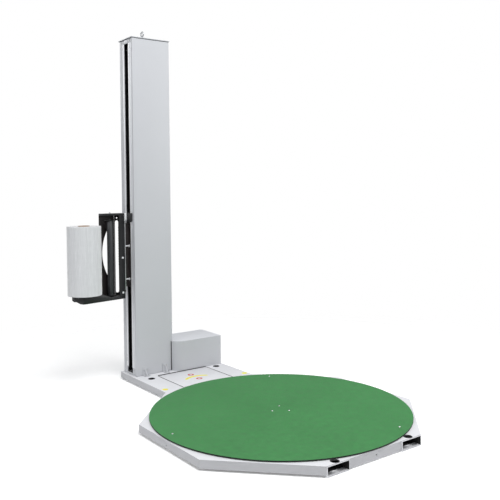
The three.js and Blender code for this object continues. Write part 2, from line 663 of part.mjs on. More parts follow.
// ---- control cabinet on the column's rear face ----
const CAB_SHEET = 2;
function buildCabinet() {
  const y0 = COL_BACK + GAP;
  return cut(block(CAB_LEFT, CAB_RIGHT, y0, CAB_BACK, CAB_LOW, CAB_HIGH),
    block(CAB_LEFT + CAB_SHEET, CAB_RIGHT - CAB_SHEET, y0 + CAB_SHEET, CAB_BACK + 5,
      CAB_LOW + CAB_SHEET, CAB_HIGH - CAB_SHEET));
}
place("cabinet_box", buildCabinet(), "grey");

const BOARD_T = 3;
const DRIVE_DEPTH = 55;
const CONTACTOR_DEPTH = 40;
const TERMINAL_DEPTH = 30;
function buildBoard() {
  const y0 = COL_BACK + GAP + CAB_SHEET + GAP;
  const part = (x0, x1, depth, z0, z1) => block(x0, x1, y0 + BOARD_T - LAP, y0 + depth, z0, z1);
  return join(
    block(CAB_LEFT + 15, CAB_RIGHT - 15, y0, y0 + BOARD_T, CAB_LOW + 20, CAB_HIGH - 20),
    part(CAB_LEFT + 30, CAB_LEFT + 110, DRIVE_DEPTH, CAB_LOW + 200, CAB_LOW + 350),
    part(CAB_LEFT + 130, CAB_RIGHT - 30, CONTACTOR_DEPTH, CAB_LOW + 220, CAB_LOW + 340),
    part(CAB_LEFT + 30, CAB_RIGHT - 30, TERMINAL_DEPTH, CAB_LOW + 60, CAB_LOW + 110),
  );
}
place("control_board", buildBoard(), "board");

const DOOR_Y = CAB_BACK + GAP;
const DOOR_T = 4;
const CONTROLS_X = (CAB_LEFT + CAB_RIGHT) / 2;
const SWITCH_Z = CAB_LOW + 90;
const ESTOP_Z = CAB_LOW + 190;
const BUTTON_Z = CAB_LOW + 290;
const KNOB_Z = BUTTON_Z + 60;
const BUTTON_REACH = 50;
const STEM_R = 8;
const DOOR_OVER = 2;
function buildDoor() {
  const leaf = block(CAB_LEFT - DOOR_OVER, CAB_RIGHT + DOOR_OVER, DOOR_Y, DOOR_Y + DOOR_T,
    CAB_LOW - DOOR_OVER, CAB_HIGH + DOOR_OVER);
  const holes = [
    [CONTROLS_X, SWITCH_Z],
    [CONTROLS_X, ESTOP_Z],
    [CONTROLS_X - BUTTON_REACH, BUTTON_Z],
    [CONTROLS_X + BUTTON_REACH, BUTTON_Z],
    [CONTROLS_X, KNOB_Z],
  ];
  return holes.reduce((body, [x, z]) => body.subtract(
    rodY(STEM_R + GAP, DOOR_Y - 5, DOOR_Y + DOOR_T + 5, x, z, 12)), leaf);
}
place("cabinet_door", buildDoor(), "grey");

// A control that passes through the door: a head outside and a stem inside.
function control(x, z, headR, headT, stand) {
  const face = DOOR_Y + DOOR_T;
  return join(
    rodY(STEM_R, DOOR_Y - 14, face + stand + 1, x, z, 12),
    rodY(headR, face + stand, face + stand + headT, x, z, 20),
  );
}
const DOOR_FACE = DOOR_Y + DOOR_T;
const HANDLE_HALF = [5, 22];
place("main_switch", join(control(CONTROLS_X, SWITCH_Z, 18, 12, 0.6),
  block(CONTROLS_X - HANDLE_HALF[0], CONTROLS_X + HANDLE_HALF[0], DOOR_FACE + 10, DOOR_FACE + 24,
    SWITCH_Z - HANDLE_HALF[1], SWITCH_Z + HANDLE_HALF[1])), "red");
place("emergency_stop", control(CONTROLS_X, ESTOP_Z, 20, 14, 9), "red");
place("start_button", control(CONTROLS_X - BUTTON_REACH, BUTTON_Z, 12, 5, 6), "greenButton");
place("stop_button", control(CONTROLS_X + BUTTON_REACH, BUTTON_Z, 12, 5, 6), "red");
place("speed_knob", join(control(CONTROLS_X, KNOB_Z, 15, 14, 0.6),
  block(CONTROLS_X - 2, CONTROLS_X + 2, DOOR_FACE + 12, DOOR_FACE + 16, KNOB_Z,
    KNOB_Z + 14)), "black");

// ---- film carriage: trolley in the column, C frame, rear panel ----
const AXLE_ROWS = [770, 1190];
const GUIDE_YS = [1339, 1434];
const GUIDE_HALF = 11;
const NECK_PLATE = 11.5;
const CLAMP_Y = SLOT_MID + PULLEY_R + GAP + BELT_T + GAP;
const AXLE_ROD_R = 8;
const AXLE_ENDS = [1322, 1451];
const TROLLEY_FACE = -346;
const TROLLEY_BACK = -300;
const TROLLEY_HALF = 29;
const CLAMP_ROWS = [960, 1000];
const CLAMP_T = 6;
const FLANGE_OUT = MAST_RIGHT + 6;
function buildTrolley() {
  const spine = block(TROLLEY_FACE, TROLLEY_BACK, SLOT_MID - TROLLEY_HALF,
    SLOT_MID + TROLLEY_HALF, 730, 1230);
  const neck = block(FLANGE_OUT - 2, TROLLEY_FACE + 6, SLOT_MID - NECK_PLATE,
    SLOT_MID + NECK_PLATE, 740, 1220);
  const flange = block(MAST_RIGHT + GAP, FLANGE_OUT, ARM_FRONT + 2, ARM_BACK - 2, 700, 1260);
  const clamp = join(
    block(TROLLEY_BACK - 12, TROLLEY_BACK + 2, SLOT_MID + 15, CLAMP_Y + CLAMP_T, ...CLAMP_ROWS),
    block(TROLLEY_BACK - 2, PULLEY_X + 13, CLAMP_Y, CLAMP_Y + CLAMP_T, ...CLAMP_ROWS),
  );
  const axles = AXLE_ROWS.map((z) => rodY(AXLE_ROD_R, ...AXLE_ENDS, GUIDE_X, z, 16));
  return join(spine, neck, flange, clamp, ...axles);
}
place("trolley", buildTrolley(), "black");

let guideCount = 0;
for (const z of AXLE_ROWS) {
  for (const y of GUIDE_YS) {
    guideCount += 1;
    place(`guide_wheel_${guideCount}`, cut(
      rodY(GUIDE_R, y - GUIDE_HALF, y + GUIDE_HALF, GUIDE_X, z, 24),
      rodY(AXLE_ROD_R + GAP, y - 20, y + 20, GUIDE_X, z, 16),
    ), "rubber");
  }
}

// Side view of the film arm: deep under the roll, then lower towards the mast.
const NOSE_R = (ARM_BACK - TRAY_FRONT) / 2;
const NOSE_X = TRAY_LEFT + NOSE_R;
const SLOPE_START = -600;
const SLOPE_END = -527;
const ARM_LEVEL = 674;
function armSide(drop, low) {
  return [
    [TRAY_LEFT - 1, TRAY_TOP - drop],
    [TRAY_LEFT - 1, TRAY_TOP - 12],
    [TRAY_LEFT + 13, TRAY_TOP - 36],
    [TRAY_LEFT + 34, TRAY_TOP - 50],
    [TRAY_LEFT + 54, TRAY_LOW],
    [TRAY_LEFT + 54, low],
    [MAST_RIGHT + 1, low],
    [MAST_RIGHT + 1, ARM_LEVEL - drop],
    [SLOPE_END, ARM_LEVEL - drop],
    [SLOPE_START, TRAY_TOP - drop],
  ];
}

// Plan of the film arm: a round nose under the roll that narrows towards the mast.
function armPlan(wall) {
  const points = [[MAST_RIGHT - wall, ARM_FRONT + wall], [MAST_RIGHT - wall, ARM_BACK - wall]];
  const steps = 12;
  for (let i = 0; i <= steps; i += 1) {
    const angle = Math.PI / 2 + (Math.PI * i) / steps;
    points.push([NOSE_X + (NOSE_R - wall) * Math.cos(angle),
      (TRAY_FRONT + ARM_BACK) / 2 + (NOSE_R - wall) * Math.sin(angle)]);
  }
  return points;
}

function clipped(body, mask) {
  return body.intersect(mask);
}

const MAST_HOLE_R = 6;
const MAST_HOLE = [-427, 1261];
const GAP_LEFT = -442;
const GAP_RIGHT = -414;
const GAP_LOW = 690;
const GAP_HIGH = 1242;
const WEB_LEFT = -447.5;
const IDLER_SHAFT_R = 6;
const SPINDLE_SHAFT_R = 10;

// A flat bar slot with round ends, cut along Y.
function stadium(x0, x1, z0, z1, y0, y1) {
  const radius = (x1 - x0) / 2;
  const x = (x0 + x1) / 2;
  return join(block(x0, x1, y0, y1, z0 + radius, z1 - radius),
    rodY(radius, y0, y1, x, z0 + radius, 20), rodY(radius, y0, y1, x, z1 - radius, 20));
}

function buildCarriage() {
  const shell = clipped(prism(armPlan(0), TRAY_LOW, TRAY_TOP),
    sideplate(armSide(0, TRAY_LOW), TRAY_FRONT - 1, ARM_BACK + 1));
  const hollow = clipped(prism(armPlan(SHEET), TRAY_LOW - 1, TRAY_TOP),
    sideplate(armSide(SHEET, TRAY_LOW - 1), TRAY_FRONT - 1, ARM_BACK + 1));
  const tray = cut(shell, hollow);
  const arm = join(
    block(ARM_LEFT, MAST_RIGHT, ARM_FRONT, ARM_BACK, ARM_TOP - SHEET, ARM_TOP),
    block(ARM_LEFT, MAST_RIGHT, ARM_FRONT, ARM_FRONT + SHEET, ARM_TOP - ARM_LIP, ARM_TOP),
    block(BEARING_LEFT, MAST_RIGHT, ARM_FRONT + SHEET, ARM_BACK, ARM_LOW, ARM_LOW + SHEET),
    block(ARM_LEFT, ARM_LEFT + SHEET, ARM_FRONT, ARM_BACK, ARM_TOP - ARM_LIP, ARM_TOP),
  );
  const web = cut(
    block(WEB_LEFT, MAST_RIGHT, ARM_BACK - SHEET, ARM_BACK, ARM_LEVEL - 1, ARM_TOP - 1),
    stadium(GAP_LEFT, GAP_RIGHT, GAP_LOW, GAP_HIGH, ARM_BACK - SHEET - 1, ARM_BACK + 1),
    rodY(MAST_HOLE_R, ARM_BACK - SHEET - 1, ARM_BACK + 1, MAST_HOLE[0], MAST_HOLE[1], 16));
  const mast = join(web,
    block(MAST_LEFT, MAST_RIGHT, ARM_FRONT, ARM_FRONT + SHEET, ARM_LEVEL - 1, ARM_TOP - 1),
    block(MAST_RIGHT - SHEET, MAST_RIGHT, ARM_FRONT, ARM_BACK, TRAY_LOW, ARM_TOP),
  );
  return cut(join(tray, arm, mast),
    rod(SPINDLE_SHAFT_R + GAP, TRAY_LOW, TRAY_TOP + 5, ROLL_X, ROLL_Y, 16),
    rod(IDLER_SHAFT_R + GAP, TRAY_LOW, TRAY_TOP + 5, IDLER_X, IDLER_Y, 16),
    rod(IDLER_SHAFT_R + GAP, ARM_LOW - 5, ARM_LOW + 5, IDLER_X, IDLER_Y, 16));
}
place("carriage_frame", buildCarriage(), "black");

// ---- rear panel with a lens-shaped window ----
const PANEL_LEFT = -572;
const PANEL_RIGHT = -448;
const PANEL_SHEET = 2;
const WINDOW_X = -508;
const WINDOW_HALF = 39;
const WINDOW_LOW = 831;
const WINDOW_HIGH = 1164;
function lensWindow(y0, y1) {
  const rise = (WINDOW_HIGH - WINDOW_LOW) / 2;
  const radius = (rise * rise + WINDOW_HALF * WINDOW_HALF) / (2 * WINDOW_HALF);
  const shift = radius - WINDOW_HALF;
  const z = (WINDOW_LOW + WINDOW_HIGH) / 2;
  return clipped(rodY(radius, y0, y1, WINDOW_X + shift, z, 96),
    rodY(radius, y0, y1, WINDOW_X - shift, z, 96));
}

function buildPanel() {
  const y0 = ARM_BACK + GAP;
  const sheet = block(PANEL_LEFT, PANEL_RIGHT, y0, y0 + PANEL_SHEET, TRAY_LOW + 4, ARM_TOP - 4);
  return cut(sheet, lensWindow(y0 - 1, y0 + PANEL_SHEET + 1));
}
place("carriage_panel", buildPanel(), "black");

// ---- spindle, film roll, idler roller, brake knob ----
const SEAT_R = 60;
const SEAT_T = 4;
const CORE_WALL = 3;
const SPINDLE_RISE = 300;
place("core_spindle", join(
  rod(SEAT_R, TRAY_TOP + GAP, TRAY_TOP + SEAT_T - GAP, ROLL_X, ROLL_Y, 32),
  rod(CORE_R - CORE_WALL - 0.7, TRAY_TOP + 2, TRAY_TOP + SPINDLE_RISE, ROLL_X, ROLL_Y, 32),
  rod(SPINDLE_SHAFT_R, TRAY_TOP - 26, TRAY_TOP + 2, ROLL_X, ROLL_Y, 16),
), "black");
place("cardboard_core", cut(
  rod(CORE_R, TRAY_TOP + SEAT_T, FILM_HIGH + 4, ROLL_X, ROLL_Y, 32),
  rod(CORE_R - CORE_WALL, TRAY_TOP, FILM_HIGH + 10, ROLL_X, ROLL_Y, 32),
), "card");
place("stretch_film", cut(
  rod(ROLL_R, FILM_LOW, FILM_HIGH, ROLL_X, ROLL_Y, 64),
  rod(CORE_R + GAP, FILM_LOW - 5, FILM_HIGH + 5, ROLL_X, ROLL_Y, 32),
), "film");
place("idler_roller", join(
  rod(IDLER_R, ARM_LEVEL + 6, ARM_LOW - 5, IDLER_X, IDLER_Y, 24),
  rod(IDLER_SHAFT_R, ARM_LEVEL - 10, ARM_LOW + 10, IDLER_X, IDLER_Y, 16),
), "rubber");
const KNOB_TOP = TRAY_TOP - 27;
const KNOB_R = 26;
const KNOB_T = 18;
place("brake_knob", join(
  rod(KNOB_R, KNOB_TOP - KNOB_T, KNOB_TOP, ROLL_X, ROLL_Y, 12),
  rod(9, KNOB_TOP - KNOB_T - 6, KNOB_TOP - KNOB_T + LAP, ROLL_X, ROLL_Y, 12),
), "black");

export default group;
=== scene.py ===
"""Turntable pallet wrapper: the visible pieces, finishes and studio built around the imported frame."""
import json
import math

import bmesh
import bpy
import numpy as np
from bpy.props import FloatProperty, FloatVectorProperty, IntProperty, PointerProperty
from mathutils import Matrix, Vector

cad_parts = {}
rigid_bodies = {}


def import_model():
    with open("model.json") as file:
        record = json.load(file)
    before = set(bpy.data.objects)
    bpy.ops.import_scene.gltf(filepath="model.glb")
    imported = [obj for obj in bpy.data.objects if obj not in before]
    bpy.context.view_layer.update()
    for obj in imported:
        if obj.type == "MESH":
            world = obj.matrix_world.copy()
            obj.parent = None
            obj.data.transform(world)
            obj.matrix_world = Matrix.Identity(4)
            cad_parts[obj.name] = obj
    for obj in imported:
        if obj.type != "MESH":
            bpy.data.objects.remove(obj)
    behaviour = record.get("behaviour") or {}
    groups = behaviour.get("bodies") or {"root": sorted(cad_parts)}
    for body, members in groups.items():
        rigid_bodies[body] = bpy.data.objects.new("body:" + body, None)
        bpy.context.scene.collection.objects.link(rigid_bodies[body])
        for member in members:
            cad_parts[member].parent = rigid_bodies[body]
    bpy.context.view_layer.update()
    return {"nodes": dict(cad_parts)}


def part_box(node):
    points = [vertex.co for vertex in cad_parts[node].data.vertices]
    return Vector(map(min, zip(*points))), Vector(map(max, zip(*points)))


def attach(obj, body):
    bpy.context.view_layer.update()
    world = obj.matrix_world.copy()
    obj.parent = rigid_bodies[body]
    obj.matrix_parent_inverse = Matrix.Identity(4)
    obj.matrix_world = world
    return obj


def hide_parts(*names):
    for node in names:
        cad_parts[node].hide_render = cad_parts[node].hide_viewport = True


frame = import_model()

bl_info = {
    "name": "Turntable pallet wrapper",
    "version": (1, 0, 0),
    "blender": (4, 5, 0),
    "location": "3D View > Sidebar > Pallet wrapper",
    "description": "Builds the visible pieces, finishes and studio of a turntable pallet wrapper",
    "category": "Add Mesh",
}

MM = 0.001


def corner(node, end):
    """Lowest (0) or highest (1) corner of a CAD node, in millimetres."""
    return Vector(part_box(node)[end]) / MM


DECK_TOP = corner("base_deck", 1).z
COLUMN_LOW = Vector((corner("column_lip_front", 0).x, *corner("column_profile", 0)[1:]))
COLUMN_HIGH = corner("column_profile", 1)
ROLL_LOW = corner("stretch_film", 0)
ROLL_HIGH = corner("stretch_film", 1)
ROLL_X = (ROLL_LOW.x + ROLL_HIGH.x) / 2
ROLL_Y = (ROLL_LOW.y + ROLL_HIGH.y) / 2
ARM_HIGH = corner("carriage_frame", 1)
IDLER_X = (corner("idler_roller", 0).x + corner("idler_roller", 1).x) / 2
IDLER_Y = (corner("idler_roller", 0).y + corner("idler_roller", 1).y) / 2
DOOR_FACE = corner("cabinet_door", 1).y
SLOT_MID = (corner("lift_belt", 0).y + corner("lift_belt", 1).y) / 2
CAP_TOP = COLUMN_HIGH.z + 6.3
NOTCH_FOOT, SLOT_FOOT, NOTCH_HEAD, SLOT_HEAD = 74, 99, 112, 2577
CORNER_HOLES = ((-284, -797), (284, -797), (-290, 1166), (290, 1166))
GROMMET_FOOT = 54.2
PEEL_HEIGHT = 0.00004
CLOSE = 0.1
STANDING = 20


# ---------------------------------------------------------------- settings
def size(name, text, default):
    return FloatProperty(name=name, description=text, default=default, min=0.0, unit="NONE")


def colour(name, text, default):
    return FloatVectorProperty(name=name, description=text, default=default, size=3, subtype="COLOR",
                               min=0.0, max=1.0)


class WrapperSizes(bpy.types.PropertyGroup):
    bend: size("Sheet bend", "Outer radius of a folded sheet edge, mm", 3.5)
    edge: size("Cut edge", "Softening of a cut plate edge, mm", 0.5)
    column_corner: size("Column corner", "Outer corner radius of the column, mm", 12.0)
    film_wave: size("Film wave", "Height of the waves in the wound film, mm", 0.5)
    screw_head: size("Turntable screw head", "Radius of the turntable's screw heads, mm", 6.5)
    bolt_head: size("Bolt head", "Radius across the corners of a bolt head, mm", 6.5)
    fins: IntProperty(name="Motor fins", description="Cooling fins on each motor", default=16, min=2)
    link: size("Chain pitch", "Length of one chain link, mm", 12.7)


class WrapperColours(bpy.types.PropertyGroup):
    deck: colour("Deck", "Paint of the deck sheets", (0.74, 0.745, 0.775))
    column: colour("Column", "Paint of the column and covers", (0.495, 0.505, 0.53))
    table: colour("Turntable", "Finish of the turntable disc", (0.045, 0.215, 0.062))
    carriage: colour("Carriage", "Paint of the film carriage", (0.0085, 0.0088, 0.010))
    film: colour("Film", "Wound stretch film", (0.60, 0.61, 0.625))
    card: colour("Core", "Cardboard core", (0.33, 0.20, 0.11))
    zinc: colour("Zinc", "Plated steel", (0.58, 0.59, 0.60))
    motor: colour("Motor", "Paint of the gearmotors", (0.07, 0.11, 0.17))
    # Also the colour of the black strips that are painted shade at the cap, the drive cover and the cover
    # plate.
    rubber: colour("Rubber", "Rollers and belts", (0.022, 0.022, 0.024))
    wheel: colour("Wheel", "Polyamide wheels", (0.62, 0.60, 0.54))
    red: colour("Red", "Stop controls", (0.50, 0.018, 0.015))
    green: colour("Green", "Start button", (0.02, 0.26, 0.05))
    yellow: colour("Yellow", "Floor marks and control plates", (0.86, 0.79, 0.02))


def sizes():
    return bpy.context.scene.wrapper_sizes


def colours():
    return bpy.context.scene.wrapper_colours


# ---------------------------------------------------------------- outlines (millimetres)
def arc(cx, cy, radius, start, end, steps):
    """Points on an arc, angles in degrees."""
    turns = [math.radians(start + (end - start) * i / steps) for i in range(steps + 1)]
    return [(cx + radius * math.cos(t), cy + radius * math.sin(t)) for t in turns]


def rounded(x0, x1, y0, y1, radius, steps=5):
    """Outline of a rectangle with round corners, counter-clockwise."""
    r = max(radius, 1e-4)
    return (arc(x1 - r, y0 + r, r, -90, 0, steps) + arc(x1 - r, y1 - r, r, 0, 90, steps)
            + arc(x0 + r, y1 - r, r, 90, 180, steps) + arc(x0 + r, y0 + r, r, 180, 270, steps))


def inset(outline, amount):
    """A closed outline moved inwards by amount."""
    pts = [Vector(p) for p in outline]
    out = []
    for i, p in enumerate(pts):
        a = (p - pts[i - 1]).normalized()
        b = (pts[(i + 1) % len(pts)] - p).normalized()
        na, nb = Vector((-a.y, a.x)), Vector((-b.y, b.x))
        mid = na + nb
        mid = mid * (amount / max(mid.dot(na), 0.2)) if mid.length > 1e-6 else na * amount
        out.append(tuple(p + mid))
    return out


PLANES = {
    "Z": lambda u, v, w: (u, v, w),
    "Y": lambda u, v, w: (u, -w, v),
    "X": lambda u, v, w: (w, u, v),
}


# ---------------------------------------------------------------- mesh pieces (millimetres)
def skin(bm, rings, caps=True):
    """Joins rings of equal length into a surface, and closes its ends with flat faces."""
    rows = [[bm.verts.new(p) for p in ring] for ring in rings]
    count = len(rows[0])
    for low, high in zip(rows, rows[1:]):
        for i in range(count):
            j = (i + 1) % count
            bm.faces.new((low[i], low[j], high[j], high[i]))
    if caps:
        bm.faces.new(rows[0][::-1])
        bm.faces.new(rows[-1])
    return rows


def slab(bm, outline, low, high, soft=0.5, axis="Z"):
    """A flat piece cut to an outline, with softened edges, its thickness along an axis."""
    place = PLANES[axis]
    soft = min(soft, (high - low) * 0.45)
    rows = [(low, soft), (low + soft * 0.3, soft * 0.3), (low + soft, 0),
            (high - soft, 0), (high - soft * 0.3, soft * 0.3), (high, soft)]
    if soft <= 0:
        rows = [(low, 0), (high, 0)]
    rings = []
    for w, d in rows:
        loop = inset(outline, d) if d else outline
        rings.append([place(u, v, w) for u, v in loop])
    skin(bm, rings)


def brick(bm, x0, x1, y0, y1, z0, z1, soft=0.6, corner_r=0.8):
    """An upright block with softened edges."""
    slab(bm, rounded(x0, x1, y0, y1, corner_r, 2), z0, z1, soft)


def lathe(bm, profile, centre, axis="Z", sides=48, lobes=0, depth=0.0):
    """A turned piece: profile is (radius, height) from one end to the other; radius 0 closes a pole."""
    cx, cy, cz = centre
    rows = []
    for radius, height in profile:
        ring = []
        for i in range(sides):
            t = 2 * math.pi * i / sides
            r = radius * (1 - depth * (0.5 - 0.5 * math.cos(lobes * t))) if lobes else radius
            u, v = r * math.cos(t), r * math.sin(t)
            x, y, z = {"Z": (u, v, height), "Y": (-u, height, v), "X": (height, u, v)}[axis]
            ring.append((cx + x, cy + y, cz + z))
        rows.append(ring)
    skin(bm, rows, caps=False)


def pipe(bm, path, radius, sides):
    """A round bar along a path."""
    pts = [Vector(p) for p in path]
    rings = []
    side = None
    for i, p in enumerate(pts):
        way = (pts[min(i + 1, len(pts) - 1)] - pts[max(i - 1, 0)]).normalized()
        if side is None:
            side = way.orthogonal().normalized()
        side = (side - way * side.dot(way)).normalized()
        up = way.cross(side)
        rings.append([p + radius * (math.cos(t) * side + math.sin(t) * up)
                      for t in (2 * math.pi * k / sides for k in range(sides))])
    skin(bm, rings)


def toothed(bm, centre, radius, bore, low, high, teeth):
    """A chain wheel's rim with rounded teeth."""
    outline = []
    for i in range(teeth):
        for part, depth in ((0.0, 0.0), (0.22, 0.0), (0.4, 4.0), (0.6, 5.2), (0.8, 4.0)):
            t = 2 * math.pi * (i + part) / teeth
            outline.append((centre[0] + (radius - depth) * math.cos(t),
                            centre[1] + (radius - depth) * math.sin(t)))
    hole = [(centre[0] + bore * math.cos(2 * math.pi * i / len(outline)),
             centre[1] + bore * math.sin(2 * math.pi * i / len(outline))) for i in range(len(outline))]
    loops = [[(x, y, z) for x, y in line] for line, z in
             ((outline, low), (outline, high), (hole, high), (hole, low), (outline, low))]
    skin(bm, loops, caps=False)


def piece(name, bm, materials, body, replaces=(), sharp=32):
    """Turns mesh work in millimetres into a finished piece that rides on a body."""
    bmesh.ops.remove_doubles(bm, verts=bm.verts, dist=1e-4)
    bmesh.ops.dissolve_degenerate(bm, edges=bm.edges, dist=1e-5)
    bmesh.ops.recalc_face_normals(bm, faces=bm.faces)
    mesh = bpy.data.meshes.new(name)
    bm.to_mesh(mesh)
    bm.free()
    mesh.transform(Matrix.Scale(MM, 4))
    return settle(name, mesh, materials, body, replaces, sharp)


def settle(name, mesh, materials, body, replaces, sharp):
    """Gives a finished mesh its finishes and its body."""
    if mesh.materials:
        mesh.materials.clear()
    for material in materials if isinstance(materials, (list, tuple)) else [materials]:
        mesh.materials.append(material)
    mesh.shade_smooth()
    mesh.set_sharp_from_angle(angle=math.radians(sharp))
    obj = bpy.data.objects.new(name, mesh)
    bpy.context.scene.collection.objects.link(obj)
    if replaces:
        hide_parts(*replaces)
    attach(obj, body)
    return obj


def plain_copy(node):
    """The merged shape of a CAD node, in millimetres, with flat areas joined up."""
    bm = bmesh.new()
    bm.from_mesh(frame["nodes"][node].data)
    bmesh.ops.transform(bm, matrix=Matrix.Scale(1 / MM, 4), verts=bm.verts)
    bmesh.ops.remove_doubles(bm, verts=bm.verts, dist=2e-3)
    bmesh.ops.dissolve_limit(bm, angle_limit=math.radians(0.5), verts=bm.verts, edges=bm.edges)
    return bm


def is_crease(edge, degrees):
    return len(edge.link_faces) == 2 and edge.calc_face_angle(0) > math.radians(degrees)


def soften(bm, width, segments=2, pick=None, degrees=28):
    """Rounds the creases that pick accepts."""
    edges = [e for e in bm.edges if is_crease(e, degrees) and (pick is None or pick(e))]
    if edges:
        bmesh.ops.bevel(bm, geom=edges, offset=width, offset_type="OFFSET", segments=segments,
                        profile=0.5, affect="EDGES", clamp_overlap=True, loop_slide=True)


def middle(edge):
    """The middle of an edge."""
    return (edge.verts[0].co + edge.verts[1].co) / 2


def near(value, level):
    """Whether a measure lies at a level."""
    return abs(value - level) < CLOSE


def is_upright(edge):
    """Whether an edge climbs far enough to be a standing corner."""
    return abs(edge.verts[0].co.z - edge.verts[1].co.z) > STANDING


def softened(node, materials, body, width=None, bends=None, bend=None, second=None):
    """A CAD node's shape with its folds rounded, its cut edges softened and some faces in a second finish."""
    bm = plain_copy(node)
    if bends:
        soften(bm, bend or sizes().bend, 4, bends)
    soften(bm, width or sizes().edge, 2)
    bm.normal_update()
    for face in bm.faces:
        if second and second(face):
            face.material_index = 1
    return piece(node + "_finish", bm, materials, body, [node], 30)


def dress(node, material):
    """Gives a CAD node that keeps its own shape its finish."""
    data = frame["nodes"][node].data
    data.materials.clear()
    data.materials.append(material)


# ---------------------------------------------------------------- geometry node trees
class Tree:
    """A geometry node tree with named inputs."""

    def __init__(self, name, inputs):
        self.group = bpy.data.node_groups.new(name, "GeometryNodeTree")
        face = self.group.interface
        face.new_socket("Geometry", in_out="INPUT", socket_type="NodeSocketGeometry")
        self.ids = {}
        for label, kind, value in inputs:
            item = face.new_socket(label, in_out="INPUT", socket_type="NodeSocket" + kind)
            if value is not None:
                item.default_value = value
            self.ids[label] = item.identifier
        face.new_socket("Geometry", in_out="OUTPUT", socket_type="NodeSocketGeometry")
        self.start = self.add("NodeGroupInput")
        self.end = self.add("NodeGroupOutput")

    def add(self, kind, values=None, **settings):
        node = self.group.nodes.new(kind)
        for key, value in settings.items():
            setattr(node, key, value)
        for key, value in (values or {}).items():
            socket = node.inputs[key]
            if isinstance(value, bpy.types.NodeSocket):
                self.group.links.new(value, socket)
            else:
                socket.default_value = value
        return node

    def close(self, geometry):
        real = self.add("GeometryNodeRealizeInstances", {"Geometry": geometry})
        paint = self.add("GeometryNodeSetMaterial",
                         {"Geometry": real.outputs[0], "Material": self.start.outputs["Material"]})
        self.group.links.new(paint.outputs[0], self.end.inputs[0])

    def run(self, mesh, values):
        """The plain mesh that the tree makes from a mesh of points or a path."""
        obj = bpy.data.objects.new("work", mesh)
        bpy.context.scene.collection.objects.link(obj)
        mod = obj.modifiers.new("work", "NODES")
        mod.node_group = self.group
        for label, value in values.items():
            mod[self.ids[label]] = value
        deps = bpy.context.evaluated_depsgraph_get()
        done = bpy.data.meshes.new_from_object(obj.evaluated_get(deps), depsgraph=deps)
        obj.modifiers.remove(mod)
        bpy.data.objects.remove(obj)
        return done


def points_mesh(points, axes):
    """Points in millimetres, each with the direction its piece faces."""
    mesh = bpy.data.meshes.new("points")
    mesh.from_pydata([tuple(Vector(p) * MM) for p in points], [], [])
    data = mesh.attributes.new("axis", "FLOAT_VECTOR", "POINT")
    for item, axis in zip(data.data, axes):
        item.vector = axis
    return mesh


def stand_on_points(tree, shape):
    """Instances of a shape on the tree's points, each along its own axis."""
    axis = tree.add("GeometryNodeInputNamedAttribute", {"Name": "axis"}, data_type="FLOAT_VECTOR")
    turn = tree.add("FunctionNodeAlignRotationToVector", {"Vector": axis.outputs[0]}, axis="Z")
    spots = tree.add("GeometryNodeMeshToPoints", {"Mesh": tree.start.outputs["Geometry"]})
    made = tree.add("GeometryNodeInstanceOnPoints", {
        "Points": spots.outputs[0], "Instance": shape, "Rotation": turn.outputs[0]})
    return made.outputs[0]


def part_of(tree, socket, share):
    """A tree value times a share of it."""
    return tree.add("ShaderNodeMath", {0: socket, 1: share}, operation="MULTIPLY").outputs[0]


def lifted(tree, geometry, height):
    """Geometry raised by a tree value."""
    up = tree.add("ShaderNodeCombineXYZ", {"Z": height})
    return tree.add("GeometryNodeTransform", {"Geometry": geometry, "Translation": up.outputs[0]}).outputs[0]


def bolt_tree():
    """Hexagon bolt heads on round washers."""
    tree = Tree("Bolt heads", [("Head Radius", "Float", 0.0065), ("Head Height", "Float", 0.005),
                               ("Washer Radius", "Float", 0.009), ("Washer Height", "Float", 0.0012),
                               ("Material", "Material", None)])
    inputs = tree.start.outputs
    head = tree.add("GeometryNodeMeshCone", {"Vertices": 6, "Radius Bottom": inputs["Head Radius"],
                                             "Radius Top": part_of(tree, inputs["Head Radius"], 0.9),
                                             "Depth": inputs["Head Height"]})
    head_up = lifted(tree, head.outputs[0], inputs["Washer Height"])
    washer = tree.add("GeometryNodeMeshCone", {"Vertices": 20, "Radius Bottom": inputs["Washer Radius"],
                                               "Radius Top": part_of(tree, inputs["Washer Radius"], 0.94),
                                               "Depth": inputs["Washer Height"]})
    both = tree.add("GeometryNodeJoinGeometry")
    tree.group.links.new(head_up, both.inputs[0])
    tree.group.links.new(washer.outputs[0], both.inputs[0])
    tree.close(stand_on_points(tree, both.outputs[0]))
    return tree


def screw_tree():
    """Low button heads with a hexagon socket."""
    tree = Tree("Socket screws", [("Head Radius", "Float", 0.008), ("Head Height", "Float", 0.0025),
                                  ("Socket Radius", "Float", 0.003), ("Material", "Material", None)])
    inputs = tree.start.outputs
    head = tree.add("GeometryNodeMeshCone", {"Vertices": 24, "Radius Bottom": inputs["Head Radius"],
                                             "Radius Top": part_of(tree, inputs["Head Radius"], 0.72),
                                             "Depth": inputs["Head Height"]})
    socket = tree.add("GeometryNodeMeshCylinder", {"Vertices": 6, "Radius": inputs["Socket Radius"],
                                                   "Depth": inputs["Head Height"]})
    socket_up = lifted(tree, socket.outputs[0], inputs["Head Height"])
    cut = tree.add("GeometryNodeMeshBoolean", {"Mesh 1": head.outputs[0]}, operation="DIFFERENCE")
    tree.group.links.new(socket_up, cut.inputs["Mesh 2"])
    tree.close(stand_on_points(tree, cut.outputs[0]))
    return tree


